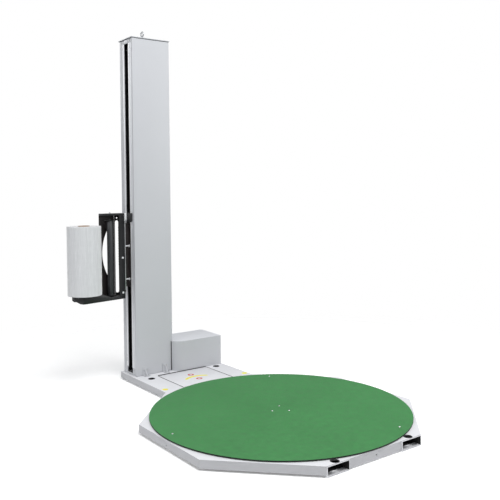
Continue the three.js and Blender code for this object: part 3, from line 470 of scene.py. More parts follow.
def disc_row_tree():
    """A row of round fins or rings along one line."""
    tree = Tree("Disc row",
                [("Count", "Int", 10), ("Step", "Vector", (0, 0, 0.01)), ("Start", "Vector", (0, 0, 0)),
                 ("Turn", "Rotation", None), ("Radius", "Float", 0.05),
                 ("Thickness", "Float", 0.003), ("Material", "Material", None)])
    inputs = tree.start.outputs
    line = tree.add("GeometryNodeMeshLine", {"Count": inputs["Count"], "Start Location": inputs["Start"],
                                             "Offset": inputs["Step"]})
    disc = tree.add("GeometryNodeMeshCylinder", {"Vertices": 36, "Radius": inputs["Radius"],
                                                 "Depth": inputs["Thickness"]})
    made = tree.add("GeometryNodeInstanceOnPoints", {"Points": line.outputs[0], "Instance": disc.outputs[0],
                                                     "Rotation": inputs["Turn"]})
    tree.close(made.outputs[0])
    return tree


def block_row_tree():
    """A row of equal blocks along one line, such as ribs, teeth or terminals."""
    tree = Tree("Block row", [("Count", "Int", 10), ("Step", "Vector", (0, 0, 0.01)),
                              ("Start", "Vector", (0, 0, 0)), ("Size", "Vector", (0.01, 0.01, 0.01)),
                              ("Material", "Material", None)])
    inputs = tree.start.outputs
    line = tree.add("GeometryNodeMeshLine", {"Count": inputs["Count"], "Start Location": inputs["Start"],
                                             "Offset": inputs["Step"]})
    cube = tree.add("GeometryNodeMeshCube", {"Size": inputs["Size"]})
    made = tree.add("GeometryNodeInstanceOnPoints", {"Points": line.outputs[0], "Instance": cube.outputs[0]})
    tree.close(made.outputs[0])
    return tree


def link_tree():
    """Chain links along a closed path: two side plates and a roller each."""
    tree = Tree("Chain links", [("Pitch", "Float", 0.0127), ("Height", "Float", 0.01),
                                ("Plate", "Float", 0.0015), ("Material", "Material", None)])
    inputs = tree.start.outputs
    curve = tree.add("GeometryNodeMeshToCurve", {"Mesh": inputs["Geometry"]})
    spots = tree.add("GeometryNodeCurveToPoints", {"Curve": curve.outputs[0], "Length": inputs["Pitch"]},
                     mode="LENGTH")
    deep = part_of(tree, inputs["Pitch"], 0.55)
    box = tree.add("ShaderNodeCombineXYZ", {"X": part_of(tree, inputs["Pitch"], 0.92), "Y": deep,
                                            "Z": inputs["Plate"]})
    plate = tree.add("GeometryNodeMeshCube", {"Size": box.outputs[0]})
    rise = part_of(tree, inputs["Height"], 0.36)
    upper = lifted(tree, plate.outputs[0], rise)
    lower = lifted(tree, plate.outputs[0], part_of(tree, rise, -1.0))
    roller = tree.add("GeometryNodeMeshCylinder", {"Vertices": 8, "Radius": part_of(tree, deep, 0.46),
                                                   "Depth": part_of(tree, inputs["Height"], 0.7)})
    both = tree.add("GeometryNodeJoinGeometry")
    for part in (upper, lower, roller.outputs[0]):
        tree.group.links.new(part, both.inputs[0])
    turn = tree.add("FunctionNodeAlignRotationToVector", {"Vector": spots.outputs["Tangent"]}, axis="X")
    made = tree.add("GeometryNodeInstanceOnPoints", {"Points": spots.outputs["Points"],
                                                     "Instance": both.outputs[0],
                                                     "Rotation": turn.outputs[0]})
    tree.close(made.outputs[0])
    return tree


TREES = {}


def grown(kind, name, mesh, values, material, body, replaces=(), sharp=30):
    """A piece made by one of the geometry node trees."""
    makers = {"bolts": bolt_tree, "screws": screw_tree, "discs": disc_row_tree,
              "blocks": block_row_tree, "links": link_tree}
    if kind not in TREES:
        TREES[kind] = makers[kind]()
    values = dict(values, Material=material)
    made = TREES[kind].run(mesh or points_mesh([(0, 0, 0)], [(0, 0, 1)]), values)
    made.name = name
    return settle(name, made, material, body, replaces, sharp)


def bolts(name, spots, axis, body, radius=None, height=4.0):
    radius = radius or sizes().bolt_head
    return grown("bolts", name, points_mesh(spots, [axis] * len(spots)),
                 {"Head Radius": radius * MM, "Head Height": height * MM,
                  "Washer Radius": radius * 1.35 * MM, "Washer Height": 1.2 * MM},
                 finish("zinc"), body)


def screws(name, spots, axis, body, radius, height, material=None):
    return grown("screws", name, points_mesh(spots, [axis] * len(spots)),
                 {"Head Radius": radius * MM, "Head Height": height * MM,
                  "Socket Radius": radius * 0.42 * MM},
                 material or finish("zinc"), body)


# ---------------------------------------------------------------- finishes
def effect(name, inputs, outputs):
    """An empty shader group with named inputs and outputs."""
    group = bpy.data.node_groups.new(name, "ShaderNodeTree")
    for label, kind, value in inputs:
        item = group.interface.new_socket(label, in_out="INPUT", socket_type="NodeSocket" + kind)
        item.default_value = value
    for label, kind in outputs:
        group.interface.new_socket(label, in_out="OUTPUT", socket_type="NodeSocket" + kind)
    return group


class Wiring:
    """Adds and links shader nodes with few words."""

    def __init__(self, nodes, links):
        self.nodes, self.links = nodes, links

    def add(self, kind, values=None, **settings):
        node = self.nodes.new(kind)
        for key, value in settings.items():
            setattr(node, key, value)
        for key, value in (values or {}).items():
            socket = node.inputs[key]
            if isinstance(value, bpy.types.NodeSocket):
                self.links.new(value, socket)
            else:
                socket.default_value = value
        return node

    def noise(self, vector, scale, detail=3.0, rough=0.5):
        node = self.add("ShaderNodeTexNoise", {"Vector": vector, "Scale": scale, "Detail": detail,
                                               "Roughness": rough})
        return node.outputs["Fac"]

    def math(self, kind, a, b=0.0):
        return self.add("ShaderNodeMath", {0: a, 1: b}, operation=kind).outputs[0]

    def remap(self, value, low, high, to_low, to_high):
        return self.add("ShaderNodeMapRange", {"Value": value, "From Min": low, "From Max": high,
                                               "To Min": to_low, "To Max": to_high}).outputs[0]

    def blend(self, factor, a, b):
        node = self.add("ShaderNodeMix", {"Factor": factor}, data_type="RGBA")
        for socket, value in ((node.inputs[6], a), (node.inputs[7], b)):
            if isinstance(value, bpy.types.NodeSocket):
                self.links.new(value, socket)
            else:
                socket.default_value = value
        return node.outputs[2]

    def tinted(self, tone, factor):
        """A colour made lighter or darker by a factor."""
        if not isinstance(tone, bpy.types.NodeSocket):
            tone = tone[:3]
        return self.add("ShaderNodeVectorMath", {0: tone, "Scale": factor}, operation="SCALE").outputs[0]


def stretched(w, scale):
    """Object coordinates stretched along the axes."""
    coords = w.add("ShaderNodeTexCoord").outputs["Object"]
    return w.add("ShaderNodeMapping", {"Vector": coords, "Scale": scale}).outputs[0]


def grain_group():
    """Slow shade changes, smudges and the fine orange peel of sprayed paint."""
    g = effect("Paint grain",
               [("Colour", "Color", (1, 1, 1, 1)), ("Variation", "Float", 0.05),
                ("Gloss Change", "Float", 0.08), ("Roughness", "Float", 0.4),
                ("Peel Scale", "Float", 420.0), ("Smudge Scale", "Float", 9.0)],
               [("Colour", "Color"), ("Roughness", "Float"), ("Height", "Float")])
    w = Wiring(g.nodes, g.links)
    start, end = w.add("NodeGroupInput"), w.add("NodeGroupOutput")
    coords = w.add("ShaderNodeTexCoord").outputs["Object"]
    slow = w.noise(coords, 1.7, 2)
    smudge = w.noise(coords, start.outputs["Smudge Scale"], 6, 0.62)
    fine = w.noise(coords, start.outputs["Peel Scale"], 2)
    both = w.math("ADD", w.math("MULTIPLY", slow, 0.65), w.math("MULTIPLY", smudge, 0.35))
    swing = w.math("MULTIPLY", w.math("SUBTRACT", both, 0.5),
                   w.math("MULTIPLY", start.outputs["Variation"], 4.0))
    g.links.new(w.tinted(start.outputs["Colour"], w.math("ADD", swing, 1.0)), end.inputs["Colour"])
    gloss = w.math("MULTIPLY", w.math("SUBTRACT", smudge, 0.5), start.outputs["Gloss Change"])
    g.links.new(w.math("ADD", start.outputs["Roughness"], w.math("MULTIPLY", gloss, 3.0)),
                end.inputs["Roughness"])
    g.links.new(fine, end.inputs["Height"])
    return g


def dust_group():
    """Fine dust that settles on faces that look up and thins out in patches."""
    g = effect("Settled dust",
               [("Colour", "Color", (1, 1, 1, 1)), ("Dust Colour", "Color", (0.5, 0.48, 0.44, 1)),
                ("Amount", "Float", 0.1), ("Patch Scale", "Float", 14.0)],
               [("Colour", "Color"), ("Mask", "Float")])
    w = Wiring(g.nodes, g.links)
    start, end = w.add("NodeGroupInput"), w.add("NodeGroupOutput")
    up = w.add("ShaderNodeSeparateXYZ",
               {"Vector": w.add("ShaderNodeNewGeometry").outputs["Normal"]}).outputs["Z"]
    level = w.remap(up, 0.3, 1.0, 0.0, 1.0)
    coords = w.add("ShaderNodeTexCoord").outputs["Object"]
    patch = w.remap(w.noise(coords, start.outputs["Patch Scale"], 8, 0.66), 0.42, 0.72, 0.15, 1.0)
    mask = w.math("MULTIPLY", w.math("MULTIPLY", level, patch), start.outputs["Amount"])
    g.links.new(w.blend(mask, start.outputs["Colour"], start.outputs["Dust Colour"]), end.inputs["Colour"])
    g.links.new(mask, end.inputs["Mask"])
    return g


def scuff_group():
    """Short thin scratches, brighter than the surface."""
    g = effect("Scuffs",
               [("Colour", "Color", (1, 1, 1, 1)), ("Scuff Colour", "Color", (0.6, 0.6, 0.6, 1)),
                ("Amount", "Float", 0.2), ("Scale", "Float", 30.0)],
               [("Colour", "Color"), ("Mask", "Float")])
    w = Wiring(g.nodes, g.links)
    start, end = w.add("NodeGroupInput"), w.add("NodeGroupOutput")
    coords = w.add("ShaderNodeTexCoord").outputs["Object"]
    lean = w.add("ShaderNodeMapping",
                 {"Vector": coords, "Rotation": (0.4, 0.9, 0.5), "Scale": (1.0, 9.0, 1.4)})
    lines = w.noise(lean.outputs[0], start.outputs["Scale"], 5, 0.7)
    thin = w.remap(lines, 0.66, 0.72, 0.0, 1.0)
    where = w.remap(w.noise(coords, 5.0, 3), 0.5, 0.65, 0.0, 1.0)
    mask = w.math("MULTIPLY", w.math("MULTIPLY", thin, where), start.outputs["Amount"])
    g.links.new(w.blend(mask, start.outputs["Colour"], start.outputs["Scuff Colour"]), end.inputs["Colour"])
    g.links.new(mask, end.inputs["Mask"])
    return g


GROUPS = {}


def use_group(w, name, values):
    """Places a shader group, made once, with a material's own values."""
    makers = {"grain": grain_group, "dust": dust_group, "scuff": scuff_group}
    if name not in GROUPS:
        GROUPS[name] = makers[name]()
    node = w.nodes.new("ShaderNodeGroup")
    node.node_tree = GROUPS[name]
    for key, value in values.items():
        if isinstance(value, bpy.types.NodeSocket):
            w.links.new(value, node.inputs[key])
        else:
            node.inputs[key].default_value = value
    return node.outputs


def blank(name):
    """A material with one empty shader."""
    material = bpy.data.materials.new(name)
    material.use_nodes = True
    tree = material.node_tree
    tree.nodes.clear()
    w = Wiring(tree.nodes, tree.links)
    shader = w.add("ShaderNodeBsdfPrincipled")
    out = w.add("ShaderNodeOutputMaterial")
    tree.links.new(shader.outputs[0], out.inputs["Surface"])
    return material, w, shader


def bumped(w, shader, height, distance):
    """Feeds a height in metres into a shader's normal."""
    node = w.add("ShaderNodeBump", {"Height": height, "Distance": distance, "Strength": 1.0})
    w.links.new(node.outputs[0], shader.inputs["Normal"])


def rgba(tone):
    return (*tone, 1.0)


def paint(name, tone, rough, variation, peel=420.0, dust=0.06, scuffs=0.0, coat=0.0,
          scuff_tone=(0.7, 0.7, 0.7)):
    """Sprayed or powder-coated paint on sheet steel, and moulded plastics."""
    material, w, shader = blank(name)
    base = use_group(w, "grain", {"Colour": rgba(tone), "Variation": variation, "Roughness": rough,
                                  "Peel Scale": peel})
    tone_out = base["Colour"]
    if scuffs:
        tone_out = use_group(w, "scuff", {"Colour": tone_out, "Amount": scuffs,
                                          "Scuff Colour": rgba(scuff_tone)})["Colour"]
    if dust:
        tone_out = use_group(w, "dust", {"Colour": tone_out, "Amount": dust})["Colour"]
    w.links.new(tone_out, shader.inputs["Base Color"])
    w.links.new(base["Roughness"], shader.inputs["Roughness"])
    shader.inputs["Metallic"].default_value = 0.0
    shader.inputs["Coat Weight"].default_value = coat
    shader.inputs["Coat Roughness"].default_value = 0.15
    bumped(w, shader, base["Height"], PEEL_HEIGHT)
    return material


def brushed(name, tone, rough=0.32):
    """Drawn or rolled metal with fine lines along its length."""
    material, w, shader = blank(name)
    lines = w.noise(stretched(w, (60.0, 60.0, 2.0)), 9.0, 5, 0.6)
    coords = w.add("ShaderNodeTexCoord").outputs["Object"]
    cloud = w.noise(coords, 16.0, 5)
    shade = w.math("ADD", w.remap(lines, 0.3, 0.7, 0.88, 1.04), w.remap(cloud, 0.3, 0.7, -0.07, 0.07))
    w.links.new(w.tinted(rgba(tone), shade), shader.inputs["Base Color"])
    w.links.new(w.remap(cloud, 0.3, 0.7, rough - 0.06, rough + 0.1), shader.inputs["Roughness"])
    shader.inputs["Metallic"].default_value = 0.92
    bumped(w, shader, lines, 0.00003)
    return material


def film_finish(name, tone):
    """Tightly wound clear film: soft upright bands, a milky depth and wrinkles."""
    material, w, shader = blank(name)
    coords = w.add("ShaderNodeTexCoord").outputs["Object"]
    centre = w.add("ShaderNodeVectorMath", {0: coords, 1: (ROLL_X * MM, ROLL_Y * MM, 0)},
                   operation="SUBTRACT")
    parts = w.add("ShaderNodeSeparateXYZ", {"Vector": centre.outputs[0]})
    angle = w.math("ARCTAN2", parts.outputs["Y"], parts.outputs["X"])
    across = w.add("ShaderNodeCombineXYZ", {"X": w.math("SINE", angle), "Y": w.math("COSINE", angle),
                                            "Z": w.math("MULTIPLY", parts.outputs["Z"], 0.35)}).outputs[0]
    bands = w.noise(across, 5.0, 4, 0.55)
    fine = w.noise(across, 36.0, 4, 0.6)
    climb = w.add("ShaderNodeCombineXYZ", {"Z": parts.outputs["Z"], "X": w.math("MULTIPLY", angle, 0.02)})
    wound = w.noise(climb.outputs[0], 55.0, 4)
    shade = w.math("ADD", w.remap(bands, 0.35, 0.65, 0.95, 1.03),
                   w.math("ADD", w.remap(fine, 0.35, 0.65, -0.015, 0.015),
                          w.remap(wound, 0.3, 0.7, -0.015, 0.015)))
    w.links.new(w.tinted(rgba(tone), shade), shader.inputs["Base Color"])
    w.links.new(w.remap(fine, 0.3, 0.7, 0.16, 0.34), shader.inputs["Roughness"])
    shader.inputs["Coat Weight"].default_value = 0.35
    shader.inputs["Coat Roughness"].default_value = 0.12
    shader.inputs["Sheen Weight"].default_value = 0.9
    shader.inputs["Subsurface Weight"].default_value = 0.25
    shader.inputs["Subsurface Radius"].default_value = (0.03, 0.03, 0.03)
    bumped(w, shader, w.math("ADD", bands, w.math("MULTIPLY", fine, 0.3)), 0.0008)
    return material


def card_finish(name, tone):
    """Spirally wound board with fibres and a slanting seam."""
    material, w, shader = blank(name)
    coords = w.add("ShaderNodeTexCoord").outputs["Object"]
    centre = w.add("ShaderNodeVectorMath", {0: coords, 1: (ROLL_X * MM, ROLL_Y * MM, 0)},
                   operation="SUBTRACT")
    parts = w.add("ShaderNodeSeparateXYZ", {"Vector": centre.outputs[0]})
    angle = w.math("ARCTAN2", parts.outputs["Y"], parts.outputs["X"])
    climb = w.math("ADD", w.math("MULTIPLY", parts.outputs["Z"], 14.0), w.math("MULTIPLY", angle, 0.159))
    seam = w.remap(w.math("ABSOLUTE", w.math("SUBTRACT", w.math("FRACT", climb), 0.5)), 0.0, 0.035, 0.75, 1.0)
    fibre = w.noise(stretched(w, (1.0, 1.0, 5.0)), 240.0, 5, 0.7)
    shade = w.math("MULTIPLY", seam, w.remap(fibre, 0.3, 0.7, 0.82, 1.14))
    w.links.new(w.tinted(rgba(tone), shade), shader.inputs["Base Color"])
    shader.inputs["Roughness"].default_value = 0.88
    bumped(w, shader, fibre, 0.0002)
    return material


def table_finish(name, tone):
    """Green turntable coating: faint mottling, wheel marks from turning and a fine grip texture."""
    material, w, shader = blank(name)
    coords = w.add("ShaderNodeTexCoord").outputs["Object"]
    mottle = w.noise(coords, 26.0, 8, 0.7)
    cloud = w.noise(coords, 2.2, 3)
    parts = w.add("ShaderNodeSeparateXYZ", {"Vector": coords})
    radius = w.math("SQRT", w.math("ADD", w.math("MULTIPLY", parts.outputs["X"], parts.outputs["X"]),
                                   w.math("MULTIPLY", parts.outputs["Y"], parts.outputs["Y"])))
    ring = w.noise(w.add("ShaderNodeCombineXYZ", {"X": radius}).outputs[0], 60.0, 4, 0.6)
    shade = w.math("ADD", w.remap(mottle, 0.3, 0.7, 0.86, 1.14),
                   w.math("ADD", w.remap(cloud, 0.3, 0.7, -0.05, 0.05), w.remap(ring, 0.3, 0.7, -0.02, 0.02)))
    dusty = use_group(w, "dust", {"Colour": w.tinted(rgba(tone), shade), "Amount": 0.03, "Patch Scale": 20.0,
                                  "Dust Colour": (0.32, 0.45, 0.34, 1)})["Colour"]
    w.links.new(dusty, shader.inputs["Base Color"])
    w.links.new(w.remap(mottle, 0.3, 0.7, 0.5, 0.66), shader.inputs["Roughness"])
    grip = w.noise(coords, 700.0, 2)
    shader.inputs["Specular IOR Level"].default_value = 0.32
    bumped(w, shader, grip, 0.00008)
    return material


FINISHES = {}


def finish(name):
    """The finish of that name, made once."""
    if name not in FINISHES:
        c = colours()
        makers = {
            "deck": lambda: paint("Deck paint", c.deck, 0.45, 0.02, dust=0.1, scuffs=0.25,
                                  scuff_tone=(0.45, 0.45, 0.46)),
            # Skirt paint: the deck paint made darker as painted shade on the side faces; its scuffs are real
            # wear.
            "shaded_skirt": lambda: paint("Skirt paint darkened as painted shade", tuple(0.62 * v for v in c.deck), 0.5, 0.05, dust=0.0,
                                   scuffs=0.5, scuff_tone=(0.25, 0.25, 0.26)),
            # Light trim: the own colour of the light end bracket and studs, and painted highlight on the slot
            # edge strips and the mast screw heads.
            "light_trim_and_highlight": lambda: paint("Light trim and painted highlight", (0.80, 0.81, 0.83), 0.3, 0.02, dust=0.0),
            # The column paint made 1.3 times lighter: painted light on the drive cover's top faces, and the
            # lighter strip along the column's front lip.
            "lip": lambda: paint("Lightened column paint, painted light on the cover top", tuple(1.3 * v for v in c.column), 0.38, 0.02, dust=0.0),
            "seam": lambda: paint("Seam", (0.16, 0.165, 0.175), 0.6, 0.05, dust=0.0),
            "frame": lambda: paint("Frame paint", c.deck, 0.5, 0.04, dust=0.15, scuffs=0.4,
                                   scuff_tone=(0.35, 0.35, 0.36)),
            "column": lambda: paint("Column paint", c.column, 0.4, 0.018, dust=0.04),
            "panel": lambda: paint("Panel paint", c.column, 0.38, 0.018, dust=0.04),
            "table": lambda: table_finish("Turntable coating", c.table),
            "carriage": lambda: paint("Carriage paint", c.carriage, 0.36, 0.12, dust=0.05, scuffs=0.35,
                                      scuff_tone=(0.12, 0.12, 0.13)),
            "film": lambda: film_finish("Wound film", c.film),
            "card": lambda: card_finish("Core board", c.card),
            "zinc": lambda: brushed("Plated steel", c.zinc),
            "chrome": lambda: brushed("Bright steel", (0.75, 0.76, 0.78), 0.16),
            "motor": lambda: paint("Motor paint", c.motor, 0.4, 0.08, dust=0.15),
            # Black rubber of the grommets and the door seal; the same paint makes the black strips that are
            # painted shade at the cap, the drive cover and the cover plate.
            "rubber": lambda: paint("Black rubber and painted shade", c.rubber, 0.62, 0.12, 900.0, dust=0.08),
            "roller": lambda: paint("Roller cover", (0.028, 0.029, 0.032), 0.42, 0.1, 900.0, dust=0.03),
            # Rail steel darkened so that the slot looks black: painted shade.
            "shaded_rail_steel": lambda: brushed("Rail steel darkened as painted shade", (0.09, 0.092, 0.095), 0.42),
            "back_panel": lambda: paint("Back panel paint", (0.020, 0.016, 0.016), 0.4, 0.1, dust=0.04),
            "belt": lambda: paint("Belt rubber", c.rubber, 0.7, 0.1, 1200.0, dust=0.1),
            "wheel": lambda: paint("Wheel polyamide", c.wheel, 0.5, 0.05, 600.0, dust=0.1),
            "black": lambda: paint("Black plastic", (0.02, 0.02, 0.022), 0.5, 0.1, 1100.0, dust=0.05),
            "red": lambda: paint("Red plastic", c.red, 0.3, 0.04, 700.0, dust=0.03, coat=0.3),
            "green": lambda: paint("Green plastic", c.green, 0.3, 0.04, 700.0, dust=0.03, coat=0.3),
            "yellow": lambda: paint("Yellow plate", c.yellow, 0.42, 0.05, 500.0, dust=0.05),
            "mark_red": lambda: paint("Red mark", (0.55, 0.05, 0.04), 0.5, 0.05, 500.0, dust=0.03),
            "board": lambda: paint("Mounting plate", (0.5, 0.51, 0.5), 0.45, 0.06, dust=0.1),
            "parts": lambda: paint("Part housings", (0.33, 0.35, 0.36), 0.5, 0.08, 900.0, dust=0.06),
            # Near-black paint: painted shade inside the fork pockets and the column, under the louvres and on
            # the turntable's lower rim; also the printed ticks of the speed scale.
            "shade_and_print_black": lambda: paint("Black for painted shade and print", (0.012, 0.012, 0.013), 0.8, 0.1, 500.0, dust=0.0),
        }
        FINISHES[name] = makers[name]()
    return FINISHES[name]


# ---------------------------------------------------------------- operators
class WRAPPER_OT_base(bpy.types.Operator):
    """Welded base: fork pockets with their sills and bolts, cross bars and outriggers"""
    bl_idname = "wrapper.base"
    bl_label = "Base frame"

    def execute(self, context):
        for side in ("left", "right"):
            node = "fork_pocket_" + side
            low, high = corner(node, 0), corner(node, 1)
            mid = (low.x + high.x) / 2

            # The pocket's inner faces get the near-black paint: painted shade inside the pocket.
            def inside(face, low=low, high=high, wall=3.0):
                spot = face.calc_center_median()
                between = low.x + wall < spot.x < high.x - wall and wall < spot.z < high.z - 1
                return between and abs(face.normal.y) < 0.5

            softened(node, [finish("frame"), finish("shade_and_print_black")], "base", 1.0, second=inside)
            bm = bmesh.new()
            brick(bm, low.x + 4.4, high.x - 4.4, low.y + 1, low.y + 46, 4.02, 4.8, 0.2)
            piece("pocket_sill_" + side, bm, finish("frame"), "base")
            spots = [(mid + 34, y, 4.1) for y in (low.y + 34, high.y - 34)]
            bolts("pocket_bolts_" + side, spots, (0, 0, 1), "base", radius=7)
            dress("outrigger_" + side, finish("frame"))
        dress("base_frame", finish("frame"))
        return {"FINISHED"}


class WRAPPER_OT_deck(bpy.types.Operator):
    """Octagonal deck, neck deck and lift-out cover plate with their marks and screws"""
    bl_idname = "wrapper.deck"
    bl_label = "Deck"

    def execute(self, context):
        deck_low = corner("base_deck", 0)

        def outer_fold(edge):
            p = middle(edge)
            if near(p.z, DECK_TOP):
                return Vector((p.x, p.y)).length > 760
            upright = is_upright(edge)
            return upright and (abs(p.x) > 829 or p.y < deck_low.y + 0.5 or p.y > 797)

        # Side faces below the deck top get the darker skirt paint: painted shade.
        def shaded_skirt(face):
            return abs(face.normal.z) < 0.35 and face.calc_center_median().z < DECK_TOP - 3.2

        softened("base_deck", [finish("deck"), finish("shaded_skirt")], "base", 0.4, outer_fold,
                 second=shaded_skirt)
        neck_high = corner("neck_deck", 1)

        def neck_fold(edge):
            p = middle(edge)
            on_side = near(abs(p.x), neck_high.x) or near(p.y, neck_high.y)
            upright = is_upright(edge)
            return on_side and (near(p.z, DECK_TOP) or (upright and p.y > neck_high.y - 1))

        softened("neck_deck", [finish("deck"), finish("shaded_skirt")], "base", 0.4, neck_fold,
                 second=shaded_skirt)
        softened("neck_cover_plate", finish("deck"), "base", 0.6)
        low, high = corner("neck_cover_plate", 0), corner("neck_cover_plate", 1)
        spots = [(x, y, DECK_TOP) for x in (low.x + 14, high.x - 14) for y in (low.y + 16, high.y - 16)]
        screws("cover_plate_screws", spots, (0, 0, 1), "base", 4.5, 1.6)
        inner, outer, lip = 21.5, 23.7, 26
        bm = bmesh.new()
        for spot in CORNER_HOLES:
            lathe(bm, [(inner, GROMMET_FOOT), (outer, GROMMET_FOOT), (outer, DECK_TOP), (lip, DECK_TOP),
                       (lip, DECK_TOP + 0.8), (lip - 1, DECK_TOP + 1.4), (inner + 1, DECK_TOP + 1.4),
                       (inner, DECK_TOP), (inner, GROMMET_FOOT)], (*spot, 0), sides=40)
        piece("hole_grommets", bm, finish("rubber"), "base")
        # Black strips behind and beside the cover plate: painted shade in its gaps.
        bm = bmesh.new()
        brick(bm, low.x, high.x, high.y + 4, high.y + 10, DECK_TOP, DECK_TOP + 5, 1.0)
        for x in (low.x - 5.0, high.x - 1.0):
            brick(bm, x, x + 6, low.y, high.y, DECK_TOP + 0.05, DECK_TOP + 0.8, 0.2)
        piece("plate_gap_shade_strips", bm, finish("rubber"), "base")
        self.marks()
        return {"FINISHED"}

    def marks(self):
        """Plain marks: two dots, a curved bar with pointed ends, and a ring on either side of it."""
        high = DECK_TOP + 0.25
        bm = bmesh.new()
        dot = 21
        for x in (-346, 346):
            lathe(bm, [(0, DECK_TOP), (dot, DECK_TOP), (dot, high), (0, high)], (x, 861, 0), sides=40)
        centre, radius, half_width = (-3, 885), 139, 12
        start, end, point = 52, 129, 8
        tips = [arc(*centre, radius, angle, angle, 1)[0] for angle in (start - point, end + point)]
        outer = arc(*centre, radius + half_width, start, end, 20)
        inner = arc(*centre, radius - half_width, end, start, 20)
        slab(bm, outer + [tips[1]] + inner + [tips[0]], DECK_TOP, high, 0)
        piece("deck_marks", bm, finish("yellow"), "base")
        bore, ring = 12, 24
        bm = bmesh.new()
        for x, y in ((-4, 953), (-2, 1077)):
            lathe(bm, [(bore, DECK_TOP), (ring, DECK_TOP), (ring, high), (bore, high), (bore, DECK_TOP)],
                  (x, y, 0), sides=40)
        piece("deck_end_marks", bm, finish("mark_red"), "base")


class WRAPPER_OT_turntable(bpy.types.Operator):
    """Turntable disc with its rolled rim, hub, chain wheel and socket screws"""
    bl_idname = "wrapper.turntable"
    bl_label = "Turntable"

    def execute(self, context):
        low, high = corner("turntable_disc", 0), corner("turntable_disc", 1)
        radius = high.x
        bm = bmesh.new()
        rim = [(radius - 1.2 + 1.2 * math.sin(t), high.z - 1.2 + 1.2 * math.cos(t))
               for t in (math.pi / 2 * i / 4 for i in range(5))]
        lathe(bm, [(0, high.z), (120, high.z), (400, high.z), (radius - 3, high.z)] + rim
              + [(radius, low.z + 0.5), (radius - 0.5, low.z), (700, low.z), (0, low.z)], (0, 0, 0),
              sides=192)
        # The rim's lower faces get the near-black paint: painted shade under the disc's edge.
        for face in bm.faces:
            spot = face.calc_center_median()
            if spot.z < high.z - 2.0 and Vector((spot.x, spot.y)).length > radius - 6:
                face.material_index = 1
        piece("turntable_top", bm, [finish("table"), finish("shade_and_print_black")], "turntable",
              ["turntable_disc"])
        centre_circle, rim_circle = 62, 765
        turns = [math.radians(57 + 120 * k) for k in range(3)]
        spots = [(r * math.cos(t), r * math.sin(t), high.z) for r in (centre_circle,
                                                                      rim_circle) for t in turns]
        screws("turntable_screws", spots, (0, 0, 1), "turntable", sizes().screw_head, 2.2)
        hub_low, hub_high = corner("turntable_hub", 0), corner("turntable_hub", 1)
        bm = bmesh.new()
        toothed(bm, (0, 0), hub_high.x, 39.5, hub_high.z - 23.7, hub_high.z - 12.7, 64)
        lathe(bm, [(0, hub_low.z), (39, hub_low.z), (40, hub_low.z + 1), (40, hub_high.z - 13.7),
                   (89, hub_high.z - 13.7),
                   (90, hub_high.z - 12.7), (90, hub_high.z - 0.8), (89, hub_high.z), (0, hub_high.z)],
              (0, 0, 0), sides=64)
        piece("turntable_hub_turned", bm, finish("zinc"), "turntable", ["turntable_hub"])
        dress("hub_bearing", finish("zinc"))
        return {"FINISHED"}


